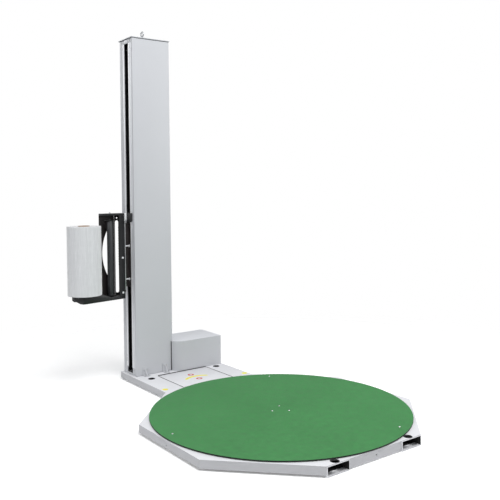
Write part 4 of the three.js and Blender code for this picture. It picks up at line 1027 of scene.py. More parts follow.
class WRAPPER_OT_table_drive(bpy.types.Operator):
    """Gearmotor, chain and support wheels under the turntable"""
    bl_idname = "wrapper.table_drive"
    bl_label = "Turntable drive"

    def execute(self, context):
        softened("turntable_gearmotor", finish("motor"), "base", width=2.0)
        gear_x = (corner("drive_sprocket", 0).x + corner("drive_sprocket", 1).x) / 2
        gear_y = (corner("drive_sprocket", 0).y + corner("drive_sprocket", 1).y) / 2
        turn = Vector((1, 0, 0)).to_track_quat("Z", "Y").to_euler()
        grown("discs", "turntable_motor_fins", None,
              {"Count": sizes().fins, "Start": Vector((gear_x + 75, gear_y, 112)) * MM,
               "Step": Vector((11, 0, 0)) * MM, "Turn": turn, "Radius": 55 * MM, "Thickness": 3 * MM},
              finish("motor"), "base")
        bolts("gearbox_bolts", [(gear_x + u, gear_y + v, 150) for u in (-42, 42) for v in (-42, 42)],
              (0, 0, 1), "base")
        bm = bmesh.new()
        lathe(bm, [(0, 150), (30, 150), (30, 154), (26, 157), (0, 157)], (gear_x, gear_y, 0), sides=32)
        piece("gearbox_cap", bm, finish("black"), "base")
        low, high = corner("drive_sprocket", 0), corner("drive_sprocket", 1)
        bm = bmesh.new()
        toothed(bm, (gear_x, gear_y), (high.x - low.x) / 2, 11.5, low.z + 5, low.z + 13, 20)
        lathe(bm, [(0, low.z), (11, low.z), (12, low.z + 1), (12, high.z - 1), (11, high.z), (0, high.z)],
              (gear_x, gear_y, 0), sides=32)
        piece("drive_sprocket_turned", bm, finish("zinc"), "sprocket", ["drive_sprocket"])
        self.chain(gear_x, gear_y)
        for i in range(8):
            self.wheel(i + 1)
        return {"FINISHED"}

    def chain(self, gear_x, gear_y):
        low, high = corner("turntable_chain", 0), corner("turntable_chain", 1)
        big, small = high.x - 4.5, 45.5
        away = Vector((gear_x, gear_y))
        heading = math.degrees(math.atan2(away.y, away.x))
        lean = math.degrees(math.acos((big - small) / away.length))
        path = (arc(0, 0, big, heading + lean, heading + 360 - lean, 60)
                + arc(away.x, away.y, small, heading - lean, heading + lean, 20))
        z = (low.z + high.z) / 2
        mesh = bpy.data.meshes.new("chain path")
        mesh.from_pydata([Vector((x, y, z)) * MM for x, y in path],
                         [(i, (i + 1) % len(path)) for i in range(len(path))], [])
        link = {"Pitch": sizes().link * MM, "Height": (high.z - low.z) * MM, "Plate": 1.5 * MM}
        grown("links", "turntable_chain_links", mesh, link, finish("zinc"), "base",
              ["turntable_chain"])

    def wheel(self, number):
        """A polyamide wheel with a rounded tread on its radial axle."""
        node = f"support_wheel_{number}"
        mesh = frame["nodes"][node].data
        points = np.array([v.co for v in mesh.vertices]) / MM
        centre = Vector(((points[:, 0].max() + points[:, 0].min()) / 2,
                         (points[:, 1].max() + points[:, 1].min()) / 2, 0))
        level = (points[:, 2].max() + points[:, 2].min()) / 2
        radius = (points[:, 2].max() - points[:, 2].min()) / 2
        bm = bmesh.new()
        half = [(6.3, 12), (11, 12), (11.5, 9.5), (16, 9.5), (16.5, 12), (radius - 2, 12), (radius, 9)]
        profile = [(r, -x) for r, x in half] + half[::-1] + [(6.3, -12)]
        lathe(bm, profile, (0, 0, 0), "X", 40)
        place = Matrix.Translation((centre.x, centre.y, level))
        turn = Matrix.Rotation(math.atan2(centre.y, centre.x), 4, "Z")
        bmesh.ops.transform(bm, matrix=place @ turn, verts=bm.verts)
        piece(node + "_tread", bm, finish("wheel"), node, [node])


class WRAPPER_OT_drive_cover(bpy.types.Operator):
    """Sheet cover over the turntable drive, its screws and the cable gland"""
    bl_idname = "wrapper.drive_cover"
    bl_label = "Drive cover"

    def execute(self, context):
        low, high = corner("motor_cover", 0), corner("motor_cover", 1)

        def fold(edge):
            p = middle(edge)
            if is_upright(edge):
                return near(p.x, high.x) and (near(p.y, low.y) or near(p.y, high.y))
            outer = near(p.x, high.x) or near(p.y, high.y) or p.y < COLUMN_LOW.y - 3
            return near(p.z, high.z) and outer

        # Faces that look up get the lighter paint: painted light on the cover's top.
        softened("motor_cover", [finish("panel"), finish("lip")], "base", 0.4, fold, 3.0,
                 lambda face: face.normal.z > 0.9)
        # Black strip between the cover and the column: painted shade in the gap.
        bm = bmesh.new()
        brick(bm, low.x - 5.5, low.x - 0.3, COLUMN_LOW.y - 5.2, COLUMN_LOW.y - 2.4, low.z + 4, high.z - 2,
              0.5)
        piece("cover_gap_shade_strip", bm, finish("rubber"), "base")
        screws("cover_side_screws",
               [(high.x, y, z) for y in (low.y + 40, high.y - 40) for z in (low.z + 18, high.z - 30)],
               (1, 0, 0), "base", 4.5, 2)
        screws("cover_rear_screws", [(x, high.y, low.z + 18) for x in (0, 180, 340)], (0, 1, 0), "base", 4.5,
               2)
        grown("blocks", "cover_louvres", None,
              {"Count": 9, "Start": Vector((150, high.y + 0.9, 190)) * MM, "Step": Vector((0, 0, 9)) * MM,
               "Size": Vector((110, 1.8, 3.4)) * MM}, finish("panel"), "base")
        # Near-black strips under the louvres: painted shade in their openings.
        grown("blocks", "cover_louvre_shade", None,
              {"Count": 9, "Start": Vector((150, high.y + 0.1, 186.6)) * MM, "Step": Vector((0, 0, 9)) * MM,
               "Size": Vector((108, 0.4, 3.0)) * MM}, finish("shade_and_print_black"), "base")
        bm = bmesh.new()
        spot = (300, high.y, 110)
        lathe(bm, [(6, 22), (11, 22), (11.5, 20), (11.5, 9), (9, 8.5), (9, 0), (6, 0), (6, 22)], spot, "Y",
              32)
        lathe(bm, [(9.2, 0), (15.5, 0), (16, 1), (16, 7), (15.5, 8), (9.2, 8), (9.2, 0)], spot, "Y", 6)
        piece("cable_gland_nut", bm, finish("black"), "base")
        return {"FINISHED"}


class WRAPPER_OT_column(bpy.types.Operator):
    """Slotted column with rolled lips, front panel, cap, lifting eye and foot gussets"""
    bl_idname = "wrapper.column"
    bl_label = "Column"

    def execute(self, context):
        self.profile()
        self.front_panel()
        softened("column_cap", finish("column"), "base", 1.2)
        self.eye()
        self.top_trim()
        panel_face = corner("column_front_panel", 0).y
        for side in ("left", "right"):
            node = "foot_bracket_" + side
            softened(node, finish("column"), "base", 0.8)
            low, high = corner(node, 0), corner(node, 1)
            mid = (low.x + high.x) / 2
            bolts("foot_bolts_" + side,
                  [(mid - 12, low.y + 16, low.z + 5), (mid + 12, low.y + 16, low.z + 5)],
                  (0, 0, 1), "base", radius=5.5)
            bolts("gusset_bolts_" + side,
                  [(mid - 12, high.y - 5, high.z - 13), (mid + 12, high.y - 5, high.z - 13)],
                  (0, -1, 0), "base", radius=4.5, height=3)
        screws("cap_screws", [(x, y, CAP_TOP) for x in (COLUMN_LOW.x + 16, COLUMN_HIGH.x - 16)
                              for y in (COLUMN_LOW.y + 16, COLUMN_HIGH.y - 16)], (0, 0, 1), "base", 4, 1.8)
        screws("panel_edge_screws", [(COLUMN_HIGH.x + 1.8, panel_face + 9, z) for z in range(160, 2600, 400)],
               (1, 0, 0), "base", 3, 1.4)
        return {"FINISHED"}

    def profile(self):
        low, high = COLUMN_LOW, COLUMN_HIGH
        r = sizes().column_corner
        slot_front, slot_rear = corner("column_lip_front", 1).y, corner("column_lip_rear", 0).y
        notch_front, notch_rear = slot_front - 6, slot_rear + 14
        right = arc(high.x - r, low.y + r, r, -90, 0, 6) + arc(high.x - r, high.y - r, r, 0, 90, 6)
        left = arc(low.x + r, high.y - r, r, 90, 180, 6)
        beads = [(low.x, slot_rear + 44), (low.x + 1.6, slot_rear + 41), (low.x + 1.6, slot_rear + 37),
                 (low.x, slot_rear + 34), (low.x, notch_rear), (low.x, slot_rear), (low.x, slot_front),
                 (low.x, notch_front), (low.x, slot_front - 26), (low.x + 1.8, slot_front - 29),
                 (low.x + 1.8, slot_front - 33), (low.x, slot_front - 36)]
        outline = right + left + beads + arc(low.x + r, low.y + r, r, 180, 270, 6)[:-1] + [(low.x + r, low.y)]
        heights = [low.z, NOTCH_FOOT, SLOT_FOOT, NOTCH_HEAD, 600, 1200, 1800, SLOT_HEAD, high.z]
        bm = bmesh.new()
        rows = [[bm.verts.new((x, y, z)) for x, y in outline] for z in heights]
        count = len(outline)
        for k, z in enumerate(heights[:-1]):
            for i in range(count):
                j = (i + 1) % count
                mid_y = (outline[i][1] + outline[j][1]) / 2
                on_left = near(outline[i][0], low.x) and near(outline[j][0], low.x)
                in_slot = on_left and slot_front < mid_y < slot_rear and SLOT_FOOT <= z < SLOT_HEAD
                in_notch = on_left and notch_front < mid_y < notch_rear and NOTCH_FOOT <= z < NOTCH_HEAD
                if not (in_slot or in_notch):
                    bm.faces.new((rows[k][i], rows[k][j], rows[k + 1][j], rows[k + 1][i]))
        bmesh.ops.remove_doubles(bm, verts=bm.verts, dist=1e-3)
        bmesh.ops.recalc_face_normals(bm, faces=bm.faces)
        work = bpy.data.meshes.new("column work")
        bm.to_mesh(work)
        bm.free()
        for material in (finish("column"), finish("shade_and_print_black")):
            work.materials.append(material)
        obj = bpy.data.objects.new("column work", work)
        context_scene = bpy.context.scene
        context_scene.collection.objects.link(obj)
        wall = obj.modifiers.new("wall", "SOLIDIFY")
        wall.thickness = 4.0
        wall.offset = -1.0
        wall.use_even_offset = True
        # The wall's inner faces get the near-black paint: painted shade inside the column.
        wall.material_offset = 1
        deps = bpy.context.evaluated_depsgraph_get()
        made = bpy.data.meshes.new_from_object(obj.evaluated_get(deps), depsgraph=deps)
        bpy.data.objects.remove(obj)
        bm = bmesh.new()
        bm.from_mesh(made)
        bmesh.ops.recalc_face_normals(bm, faces=bm.faces)

        def lip(edge):
            p = middle(edge)
            upright = is_upright(edge)
            return upright and near(p.x, low.x) and (near(p.y, slot_front) or near(p.y, slot_rear))

        soften(bm, 1.4, 3, lip, 60)
        soften(bm, 0.4, 2, None, 70)
        piece("column_shell", bm, [finish("column"), finish("shade_and_print_black")], "base",
              ["column_profile", "column_lip_front", "column_lip_rear", "column_slot_head",
               "column_slot_foot"], 25)

    def front_panel(self):
        low, high = corner("column_front_panel", 0), corner("column_front_panel", 1)
        t, r, back = 1.5, 2.4, COLUMN_LOW.y + 14
        left, right, front = low.x + r, high.x - r, low.y + r
        outer = ([(high.x, back)] + arc(right, front, r, 0, -90, 4) + arc(left, front, r, -90, -180, 4)
                 + [(low.x, back)])
        inner = ([(low.x + t, back)] + arc(left, front, r - t, -180, -90, 4)
                 + arc(right, front, r - t, -90, 0, 4) + [(high.x - t, back)])
        bm = bmesh.new()
        slab(bm, (outer + inner)[::-1], low.z, high.z, 0)
        piece("column_front_skin", bm, finish("panel"), "base", ["column_front_panel"], 25)

    def top_trim(self):
        """Dark strips under the cap as painted shade, blanking plate over the slot's upper end, and the
        strips beside the slot, two of them painted highlight.
        """
        low, high = COLUMN_LOW, COLUMN_HIGH
        z0, z1 = high.z - 3.6, high.z + 0.2
        # Black strips under the cap: painted shade in the gap below it.
        bm = bmesh.new()
        slab(bm, rounded(low.x - 1.5, high.x + 1.5, low.y - 1.5, low.y - 0.1, 0.6, 2), z0, z1, 0.2)
        slab(bm, rounded(low.x - 1.5, low.x - 0.1, low.y, high.y, 0.6, 2), z0, z1, 0.2)
        slab(bm, rounded(high.x + 0.1, high.x + 1.5, low.y, high.y, 0.6, 2), z0, z1, 0.2)
        piece("cap_gap_shade_strip", bm, finish("rubber"), "base")
        bm = bmesh.new()
        slab(bm, rounded(SLOT_MID - 28, SLOT_MID + 22, high.z - 32, high.z - 6, 6), low.x - 2, low.x - 0.05,
             0.5, "X")
        piece("slot_blank", bm, finish("deck"), "base")
        front, rear = corner("column_lip_front", 1).y, corner("column_lip_rear", 0).y
        # The front lip strip is in the lightened column paint; the two slot edge strips are painted
        # highlight; the seam strip is a dark joint.
        bars = (("lip_face_front", "lip", low.y + 12.5, front - 24, 0.5),
                ("slot_highlight_front", "light_trim_and_highlight", front - 22, front - 2, 1.2),
                ("slot_highlight_rear", "light_trim_and_highlight", rear + 2, rear + 22, 1.2),
                ("lip_seam", "seam", low.y + 4, low.y + 11.5, 0.3))
        for name, tone, y0, y1, depth in bars:
            bm = bmesh.new()
            slab(bm, rounded(low.x - depth, low.x - 0.02, y0, y1, 0.2, 2), 118, high.z - 34, 0.2)
            piece(name, bm, finish(tone), "base")

    def eye(self):
        low, high = corner("eye_bolt", 0), corner("eye_bolt", 1)
        x, top = (low.x + high.x) / 2, high.z
        centre = Vector((x, SLOT_MID, top - 24.5))
        bm = bmesh.new()
        rings = []
        for i in range(40):
            t = 2 * math.pi * i / 40
            hub = centre + Vector((0, 19 * math.cos(t), 19 * math.sin(t)))
            out = Vector((0, math.cos(t), math.sin(t)))
            rings.append([hub + 5.5 * (math.cos(u) * out + math.sin(u) * Vector((1, 0, 0)))
                          for u in (2 * math.pi * k / 16 for k in range(16))])
        skin(bm, rings + [rings[0]], caps=False)
        cap_top = CAP_TOP
        lathe(bm, [(0, cap_top + 0.3), (14.5, cap_top + 0.3), (15, cap_top + 1), (15, cap_top + 8),
                   (12, cap_top + 11),
                   (8.5, cap_top + 16), (7.5, cap_top + 24), (6.5, cap_top + 27), (0, cap_top + 27)],
              (x, SLOT_MID, 0), sides=32)
        lathe(bm,
              [(0, cap_top - 24), (5.5, cap_top - 24), (6, cap_top - 23), (6, cap_top + 1), (0, cap_top + 1)],
              (x, SLOT_MID, 0), sides=24)
        piece("lifting_eye", bm, finish("zinc"), "base", ["eye_bolt"], 40)


class WRAPPER_OT_lift_drive(bpy.types.Operator):
    """Guide rails, lift gearmotor, pulleys and toothed belt inside the column"""
    bl_idname = "wrapper.lift_drive"
    bl_label = "Lift drive"

    def execute(self, context):
        for node in ("guide_rail_front", "guide_rail_rear"):
            softened(node, finish("shaded_rail_steel"), "base", 0.5)
        softened("top_pulley_bracket", finish("zinc"), "base", 0.5)
        softened("lift_gearmotor", finish("motor"), "base", 2.0)
        low, high = corner("lift_gearmotor", 0), corner("lift_gearmotor", 1)
        mid = Vector(((low.x + high.x) / 2, SLOT_MID, 0))
        grown("discs", "lift_motor_fins", None,
              {"Count": sizes().fins, "Start": Vector((mid.x, mid.y, high.z - 175)) * MM,
               "Step": Vector((0, 0, 10)) * MM,
               "Radius": 54 * MM, "Thickness": 2.6 * MM}, finish("motor"), "base")
        for end in ("bottom", "top"):
            self.pulley("lift_pulley_" + end, end == "bottom")
        self.belt()
        return {"FINISHED"}

    def pulley(self, node, shaft):
        low, high = corner(node, 0), corner(node, 1)
        z = (low.z + high.z) / 2
        x0 = low.x
        bore = 0 if shaft else 8.4
        profile = [(bore, x0), (27, x0), (27, x0 + 1.6), (22.2, x0 + 2.4), (22.2, x0 + 27.6), (27, x0 + 28.4),
                   (27, x0 + 30)]
        profile += [(8, x0 + 30), (8, high.x), (0, high.x)] if shaft else [(bore, x0 + 30), (bore, x0)]
        bm = bmesh.new()
        lathe(bm, profile, (0, SLOT_MID, z), "X", 40)
        piece(node + "_turned", bm, finish("zinc"), node, [node])

    def belt(self):
        low, high = corner("lift_belt", 0), corner("lift_belt", 1)
        softened("lift_belt", finish("belt"), "base", 0.4)
        for side, y in (("front", low.y + 3.9), ("rear", high.y - 3.9)):
            count = int((high.z - low.z - 70) / 8)
            grown("blocks", "belt_teeth_" + side, None,
                  {"Count": count, "Start": Vector(((low.x + high.x) / 2, y, low.z + 35)) * MM,
                   "Step": Vector((0, 0, 8)) * MM, "Size": Vector((20, 2.0, 3.4)) * MM},
                  finish("belt"), "base")


class WRAPPER_OT_cabinet(bpy.types.Operator):
    """Control cabinet: box, board with its parts, door and hand controls"""
    bl_idname = "wrapper.cabinet"
    bl_label = "Control cabinet"

    def execute(self, context):
        low, high = corner("cabinet_box", 0), corner("cabinet_box", 1)

        def box_fold(edge):
            p = middle(edge)
            side = near(p.x, low.x) or near(p.x, high.x)
            front = near(p.y, low.y)
            level = near(p.z, low.z) or near(p.z, high.z)
            return (side and (level or (is_upright(edge) and front))) or (level and front)

        softened("cabinet_box", finish("column"), "base", 0.4, box_fold, 1.6)
        self.board()
        self.door()
        self.controls()
        return {"FINISHED"}

    def board(self):
        dress("control_board", finish("board"))
        low, high = corner("control_board", 0), corner("control_board", 1)
        cab = corner("cabinet_box", 0)
        face = low.y + 55
        grown("blocks", "drive_fins", None,
              {"Count": 14, "Start": Vector((cab.x + 36, face - 4, cab.z + 275)) * MM,
               "Step": Vector((5, 0, 0)) * MM, "Size": Vector((2, 11, 140)) * MM},
              finish("parts"), "base")
        grown("blocks", "contactors", None,
              {"Count": 3, "Start": Vector((cab.x + 148, low.y + 44, cab.z + 285)) * MM,
               "Step": Vector((26, 0, 0)) * MM, "Size": Vector((22, 9, 70)) * MM},
              finish("black"), "base")
        grown("blocks", "terminals", None,
              {"Count": 27, "Start": Vector((cab.x + 36, low.y + 33, cab.z + 85)) * MM,
               "Step": Vector((6.4, 0, 0)) * MM, "Size": Vector((5.2, 7, 42)) * MM},
              finish("parts"), "base")
        bm = bmesh.new()
        for x0, x1, z0, z1 in ((low.x + 4, low.x + 14, low.z + 8, high.z - 8),
                               (high.x - 14, high.x - 4, low.z + 8, high.z - 8),
                               (low.x + 18, high.x - 18, low.z + 118, low.z + 140)):
            brick(bm, x0, x1, low.y + 3, low.y + 28, z0, z1, 0.8)
        piece("cable_ducts", bm, finish("parts"), "base")
        colours_of_wire = (("red", 0), ("black", 1), ("yellow", 2))
        for tone, row in colours_of_wire:
            bm = bmesh.new()
            for k in range(4):
                x = cab.x + 46 + 44 * k + 9 * row
                pipe(bm, [(x, low.y + 33, cab.z + 108), (x + 1, low.y + 38, cab.z + 122),
                          (x + 3, low.y + 34, cab.z + 142), (x + 5, low.y + 24, cab.z + 152)], 1.3, 8)
            piece(f"wires_{tone}", bm, finish(tone), "base")

    def door(self):
        softened("cabinet_door", finish("column"), "door", 0.9)
        low, high = corner("cabinet_door", 0), corner("cabinet_door", 1)
        for z in (low.z + 60, high.z - 60):
            bm = bmesh.new()
            lathe(bm, [(0, z - 22), (3.6, z - 22), (4, z - 21), (4, z + 21), (3.6, z + 22), (0, z + 22)],
                  (high.x - 0.5, high.y + 4.2, 0), sides=24)
            brick(bm, high.x - 22, high.x - 1, high.y, high.y + 1.6, z - 18, z + 18)
            piece(f"door_hinge_{int(z)}", bm, finish("zinc"), "door")
        bm = bmesh.new()
        z, x = (low.z + high.z) / 2, low.x + 16
        lathe(bm, [(0, high.y), (11, high.y), (11, high.y + 2), (9.5, high.y + 3.5), (5.5, high.y + 3.5),
                   (5, high.y + 1.5), (0, high.y + 1.5)], (x, 0, z), "Y", 32)
        piece("door_lock", bm, finish("zinc"), "door")
        bm = bmesh.new()
        inner = 6
        for x0, x1, z0, z1 in ((low.x + inner, low.x + inner + 5, low.z + inner, high.z - inner),
                               (high.x - inner - 5, high.x - inner, low.z + inner, high.z - inner),
                               (low.x + inner + 5.2, high.x - inner - 5.2, low.z + inner, low.z + inner + 5),
                               (low.x + inner + 5.2, high.x - inner - 5.2, high.z - inner - 5,
                                high.z - inner)):
            brick(bm, x0, x1, low.y - 0.25, low.y, z0, z1, 0.1)
        piece("door_seal", bm, finish("rubber"), "door")

    def controls(self):
        face, stem = DOOR_FACE, 13
        spots = {name: (corner(name, 0) + corner(name, 1)) / 2 for name in
                 ("main_switch", "emergency_stop", "start_button", "stop_button", "speed_knob")}
        switch, stop = spots["main_switch"], spots["emergency_stop"]
        bm = bmesh.new()
        slab(bm, rounded(switch.x - 30, switch.x + 30, switch.z - 30, switch.z + 30, 4), -face - 1.2, -face,
             0.4, "Y")
        lathe(bm, [(9, face), (29, face), (30, face + 0.8), (30, face + 1.2), (9, face + 1.2), (9, face)],
              (stop.x, 0, stop.z), "Y", 48)
        piece("control_plates", bm, finish("yellow"), "door")
        bm = bmesh.new()
        lathe(bm, [(0, face - stem), (8, face - stem), (8, face + 1.6), (17, face + 1.6), (18, face + 3),
                   (18, face + 10), (16.5, face + 12), (0, face + 12)], (switch.x, 0, switch.z), "Y", 48)
        slab(bm, rounded(switch.x - 5, switch.x + 5, switch.z - 22, switch.z + 22, 4), -face - 24, -face - 11,
             1.6, "Y")
        piece("main_switch_handle", bm, finish("red"), "main_switch", ["main_switch"])
        bm = bmesh.new()
        lathe(bm, [(0, face - stem), (8, face - stem), (8, face + 9), (14, face + 9.4), (19, face + 11),
                   (20, face + 14), (19.4, face + 18), (16, face + 21.5), (9, face + 22.8), (0, face + 23)],
              (stop.x, 0, stop.z), "Y", 48)
        piece("emergency_stop_head", bm, finish("red"), "emergency_stop", ["emergency_stop"])
        bm = bmesh.new()
        for name in ("start_button", "stop_button"):
            spot = spots[name]
            lathe(bm, [(12.4, face), (16, face), (16, face + 4), (15, face + 6), (12.4, face + 6.4),
                       (12.4, face)],
                  (spot.x, 0, spot.z), "Y", 40)
        lathe(bm, [(9, face), (14.6, face), (14.6, face + 2.2), (9, face + 2.2), (9, face)],
              (stop.x, 0, stop.z), "Y", 40)
        piece("button_bezels", bm, finish("chrome"), "door")
        for name, tone in (("start_button", "green"), ("stop_button", "red")):
            spot = spots[name]
            bm = bmesh.new()
            lathe(bm, [(0, face - stem), (8, face - stem), (8, face + 4), (11.6, face + 4.4), (12, face + 5),
                       (12, face + 10), (11.2, face + 10.9), (0, face + 11)], (spot.x, 0, spot.z), "Y", 40)
            piece(name + "_cap", bm, finish(tone), name, [name])
        knob = spots["speed_knob"]
        level = (corner("speed_knob", 0).z + corner("speed_knob", 1).z) / 2
        bm = bmesh.new()
        lathe(bm, [(0, face - stem), (8, face - stem), (8, face + 0.8), (14.6, face + 0.8), (15, face + 1.6),
                   (14, face + 11),
                   (12.6, face + 13.6), (0, face + 14)], (knob.x, 0, level), "Y", 72, lobes=18, depth=0.07)
        piece("speed_knob_grip", bm, finish("black"), "speed_knob", ["speed_knob"])
        bm = bmesh.new()
        brick(bm, knob.x - 0.9, knob.x + 0.9, face + 13.6, face + 15.4, level + 3, level + 12, 0.3, 0.3)
        piece("speed_knob_mark", bm, finish("deck"), "speed_knob")
        ticks = []
        for k in range(11):
            t = math.radians(-135 + 27 * k)
            ticks.append((knob.x + 21 * math.sin(t), level + 21 * math.cos(t)))
        bm = bmesh.new()
        for x, z in ticks:
            lathe(bm, [(0, face), (1.1, face), (1.1, face + 0.3), (0, face + 0.3)], (x, 0, z), "Y", 12)
        piece("speed_scale", bm, finish("shade_and_print_black"), "door")


class WRAPPER_OT_carriage(bpy.types.Operator):
    """Film carriage: C frame, rear panel, trolley and small fittings"""
    bl_idname = "wrapper.carriage"
    bl_label = "Film carriage"

    def execute(self, context):
        softened("carriage_frame", finish("carriage"), "carriage", 0.5)
        softened("carriage_panel", finish("back_panel"), "carriage", 0.5)
        softened("trolley", finish("back_panel"), "carriage", 0.6)
        for i in range(1, 5):
            self.guide_wheel(f"guide_wheel_{i}")
        self.fittings()
        return {"FINISHED"}

    def guide_wheel(self, node):
        low, high = corner(node, 0), corner(node, 1)
        x, z, r = (low.x + high.x) / 2, (low.z + high.z) / 2, (high.z - low.z) / 2
        bm = bmesh.new()
        side = [(8.3, 0), (13, 0), (13.5, 2), (21, 2), (21.5, 0), (r - 1.5, 0), (r, 2)]
        profile = [(u, low.y + v) for u, v in side] + [(u, high.y - v) for u, v in side[::-1]]
        lathe(bm, profile + [(8.3, low.y)], (x, 0, z), "Y", 40)
        piece(node + "_tread", bm, finish("wheel"), node, [node])

    def fittings(self):
        mast = ARM_HIGH.x
        top = ARM_HIGH.z
        front = corner("carriage_frame", 0).y + 70
        stud_levels = (1047, 795)
        bm = bmesh.new()
        brick(bm, mast + 0.4, mast + 7, front - 2.4, front - 0.2, 716, top - 62, 0.4)
        piece("mast_edge_strip", bm, finish("zinc"), "carriage")
        bm = bmesh.new()
        brick(bm, mast + 0.4, mast + 3.4, front - 6, front + 20, top - 60, top + 2, 0.5)
        brick(bm, mast + 0.4, mast + 12, front - 12, front - 8, top - 50, top + 2, 0.5)
        brick(bm, mast + 0.4, mast + 3.4, front - 9, front - 5, top - 50, top + 2, 0.5)
        piece("end_bracket", bm, finish("light_trim_and_highlight"), "carriage")
        bm = bmesh.new()
        slab(bm, rounded(mast + 23, mast + 38, front - 60, front - 1, 6), top - 58, top + 1, 3)
        slab(bm, rounded(mast + 25, mast + 36, front - 54, front - 14, 5), top - 66, top - 57, 1.5)
        piece("end_block", bm, finish("black"), "carriage")
        spots = [(mast + 6, front + 10, z) for z in stud_levels]
        for i, (x, y, z) in enumerate(spots):
            bm = bmesh.new()
            lathe(bm, [(0, x - 6), (5.5, x - 6), (5.5, x + 32), (9, x + 32), (9.5, x + 33), (9.5, x + 38),
                       (9, x + 39), (0, x + 39)],
                  (0, y, z), "X", 24)
            piece(f"carriage_stud_{i + 1}", bm, finish("light_trim_and_highlight"), "carriage")
        bm = bmesh.new()
        lathe(bm, [(0, top), (9, top), (9, top + 4), (0, top + 4)], (IDLER_X, IDLER_Y, 0), sides=6)
        lathe(bm, [(0, top + 4), (4.5, top + 4), (4.5, top + 8), (3.8, top + 9), (0, top + 9)],
              (IDLER_X, IDLER_Y, 0), sides=20)
        piece("idler_pin", bm, finish("zinc"), "carriage")
        back = front + 72.3
        screws("panel_screws", [(x, back, z) for x in (-560, -460) for z in (676, 1272)], (0, 1, 0),
               "carriage", 4, 2)
        # The bright screw heads are partly painted highlight.
        screws("mast_screws", [(mast - 17, front, z) for z in (696, 960)], (0, -1, 0), "carriage", 8, 2.6,
               finish("light_trim_and_highlight"))
        grown("blocks", "mast_rack", None, {"Count": 15, "Start": Vector((mast - 16.5, front + 66, 905)) * MM,
                                            "Step": Vector((0, 0, 20)) * MM, "Size": Vector((8, 4, 10)) * MM},
              finish("carriage"), "carriage")


class WRAPPER_OT_film(bpy.types.Operator):
    """Film roll on its cardboard core, spindle, idler roller and brake knob"""
    bl_idname = "wrapper.film"
    bl_label = "Film roll"

    def execute(self, context):
        self.film()
        self.core()
        self.spindle()
        self.idler()
        self.brake()
        return {"FINISHED"}

    def film(self):
        low, high = ROLL_LOW.z, ROLL_HIGH.z
        radius = (ROLL_HIGH.x - ROLL_LOW.x) / 2
        wave = sizes().film_wave
        sides, rows = 120, 46
        bm = bmesh.new()
        rings = []
        inner = 41.4
        ends = [(inner, 0.0), (inner + 2, 0.6)]
        ends += [(r, 0.9 + 0.9 * math.sin(r * 0.55) * (1 if k % 2 else 0.4)) for k, r in
                 enumerate(np.linspace(inner + 8, radius - 9, 14))]
        ends += [(radius - 3, 0.7), (radius - 0.9, 0.0)]

        def ring(r, z, amount):
            pts = []
            for i in range(sides):
                t = 2 * math.pi * i / sides
                wobble = (math.sin(3 * t + 0.6) + 0.6 * math.sin(7 * t + 1.7 + z * 0.004)
                          + 0.4 * math.sin(17 * t + z * 0.01)) * wave * amount * 0.5
                step = 0.35 * math.sin(z * 0.21) * amount * wave
                rr = r - wave * amount - 0.2 * amount + wobble * 0.5 + step
                pts.append((ROLL_X + rr * math.cos(t), ROLL_Y + rr * math.sin(t), z))
            return pts

        for r, dip in ends:
            rings.append(ring(r, low + dip, 0))
        for k in range(rows + 1):
            rings.append(ring(radius, low + 1.4 + (high - low - 2.8) * k / rows, 1))
        for r, dip in ends[::-1]:
            rings.append(ring(r, high - dip, 0))
        rings.append(rings[0])
        skin(bm, rings, caps=False)
        piece("film_winding", bm, finish("film"), "film_roll", ["stretch_film"], 40)

    def core(self):
        low, high = corner("cardboard_core", 0).z, corner("cardboard_core", 1).z
        bm = bmesh.new()
        lathe(bm, [(38.1, low), (38.1, high - 0.6), (38.6, high), (40.5, high), (41, high - 0.6),
                   (41, low + 0.5), (40.5, low), (38.1, low)], (ROLL_X, ROLL_Y, 0), sides=64)
        piece("core_tube", bm, finish("card"), "film_roll", ["cardboard_core"])

    def spindle(self):
        low, high = corner("core_spindle", 0).z, corner("core_spindle", 1).z
        seat = low + 26.3
        bm = bmesh.new()
        lathe(bm, [(0, low), (9.5, low), (10, low + 0.6), (10, seat + 0.1), (59, seat + 0.1),
                   (60, seat + 0.8), (60, seat + 2.6),
                   (59, seat + 3.3), (37.2, seat + 3.3), (37.2, high - 8), (34, high - 0.6), (33, high),
                   (12, high), (11, high - 6), (0, high - 6)], (ROLL_X, ROLL_Y, 0), sides=64)
        piece("spindle_body", bm, finish("black"), "spindle", ["core_spindle"])

    def idler(self):
        low, high = corner("idler_roller", 0).z, corner("idler_roller", 1).z
        r = (corner("idler_roller", 1).x - corner("idler_roller", 0).x) / 2
        bm = bmesh.new()
        lathe(bm,
              [(0, low), (5.6, low), (6, low + 0.5), (6, low + 16), (r - 2, low + 16), (r - 0.6, low + 17.4),
               (r - 0.6, low + 30), (r, low + 31), (r, high - 31), (r - 0.6, high - 30),
               (r - 0.6, high - 17.4),
               (r - 2, high - 15), (6, high - 15), (6, high - 0.5), (5.6, high), (0, high)],
              (IDLER_X, IDLER_Y, 0), sides=48)
        piece("idler_cover", bm, finish("roller"), "idler", ["idler_roller"])

    def brake(self):
        low, high = corner("brake_knob", 0).z, corner("brake_knob", 1).z
        bm = bmesh.new()
        lathe(bm, [(0, low), (9, low), (9, low + 6.5), (22, low + 6.5), (25.5, low + 9), (26, low + 12),
                   (26, high - 2), (24, high), (0, high)], (ROLL_X, ROLL_Y, 0), sides=96, lobes=12, depth=0.1)
        piece("brake_grip", bm, finish("black"), "brake_knob", ["brake_knob"])


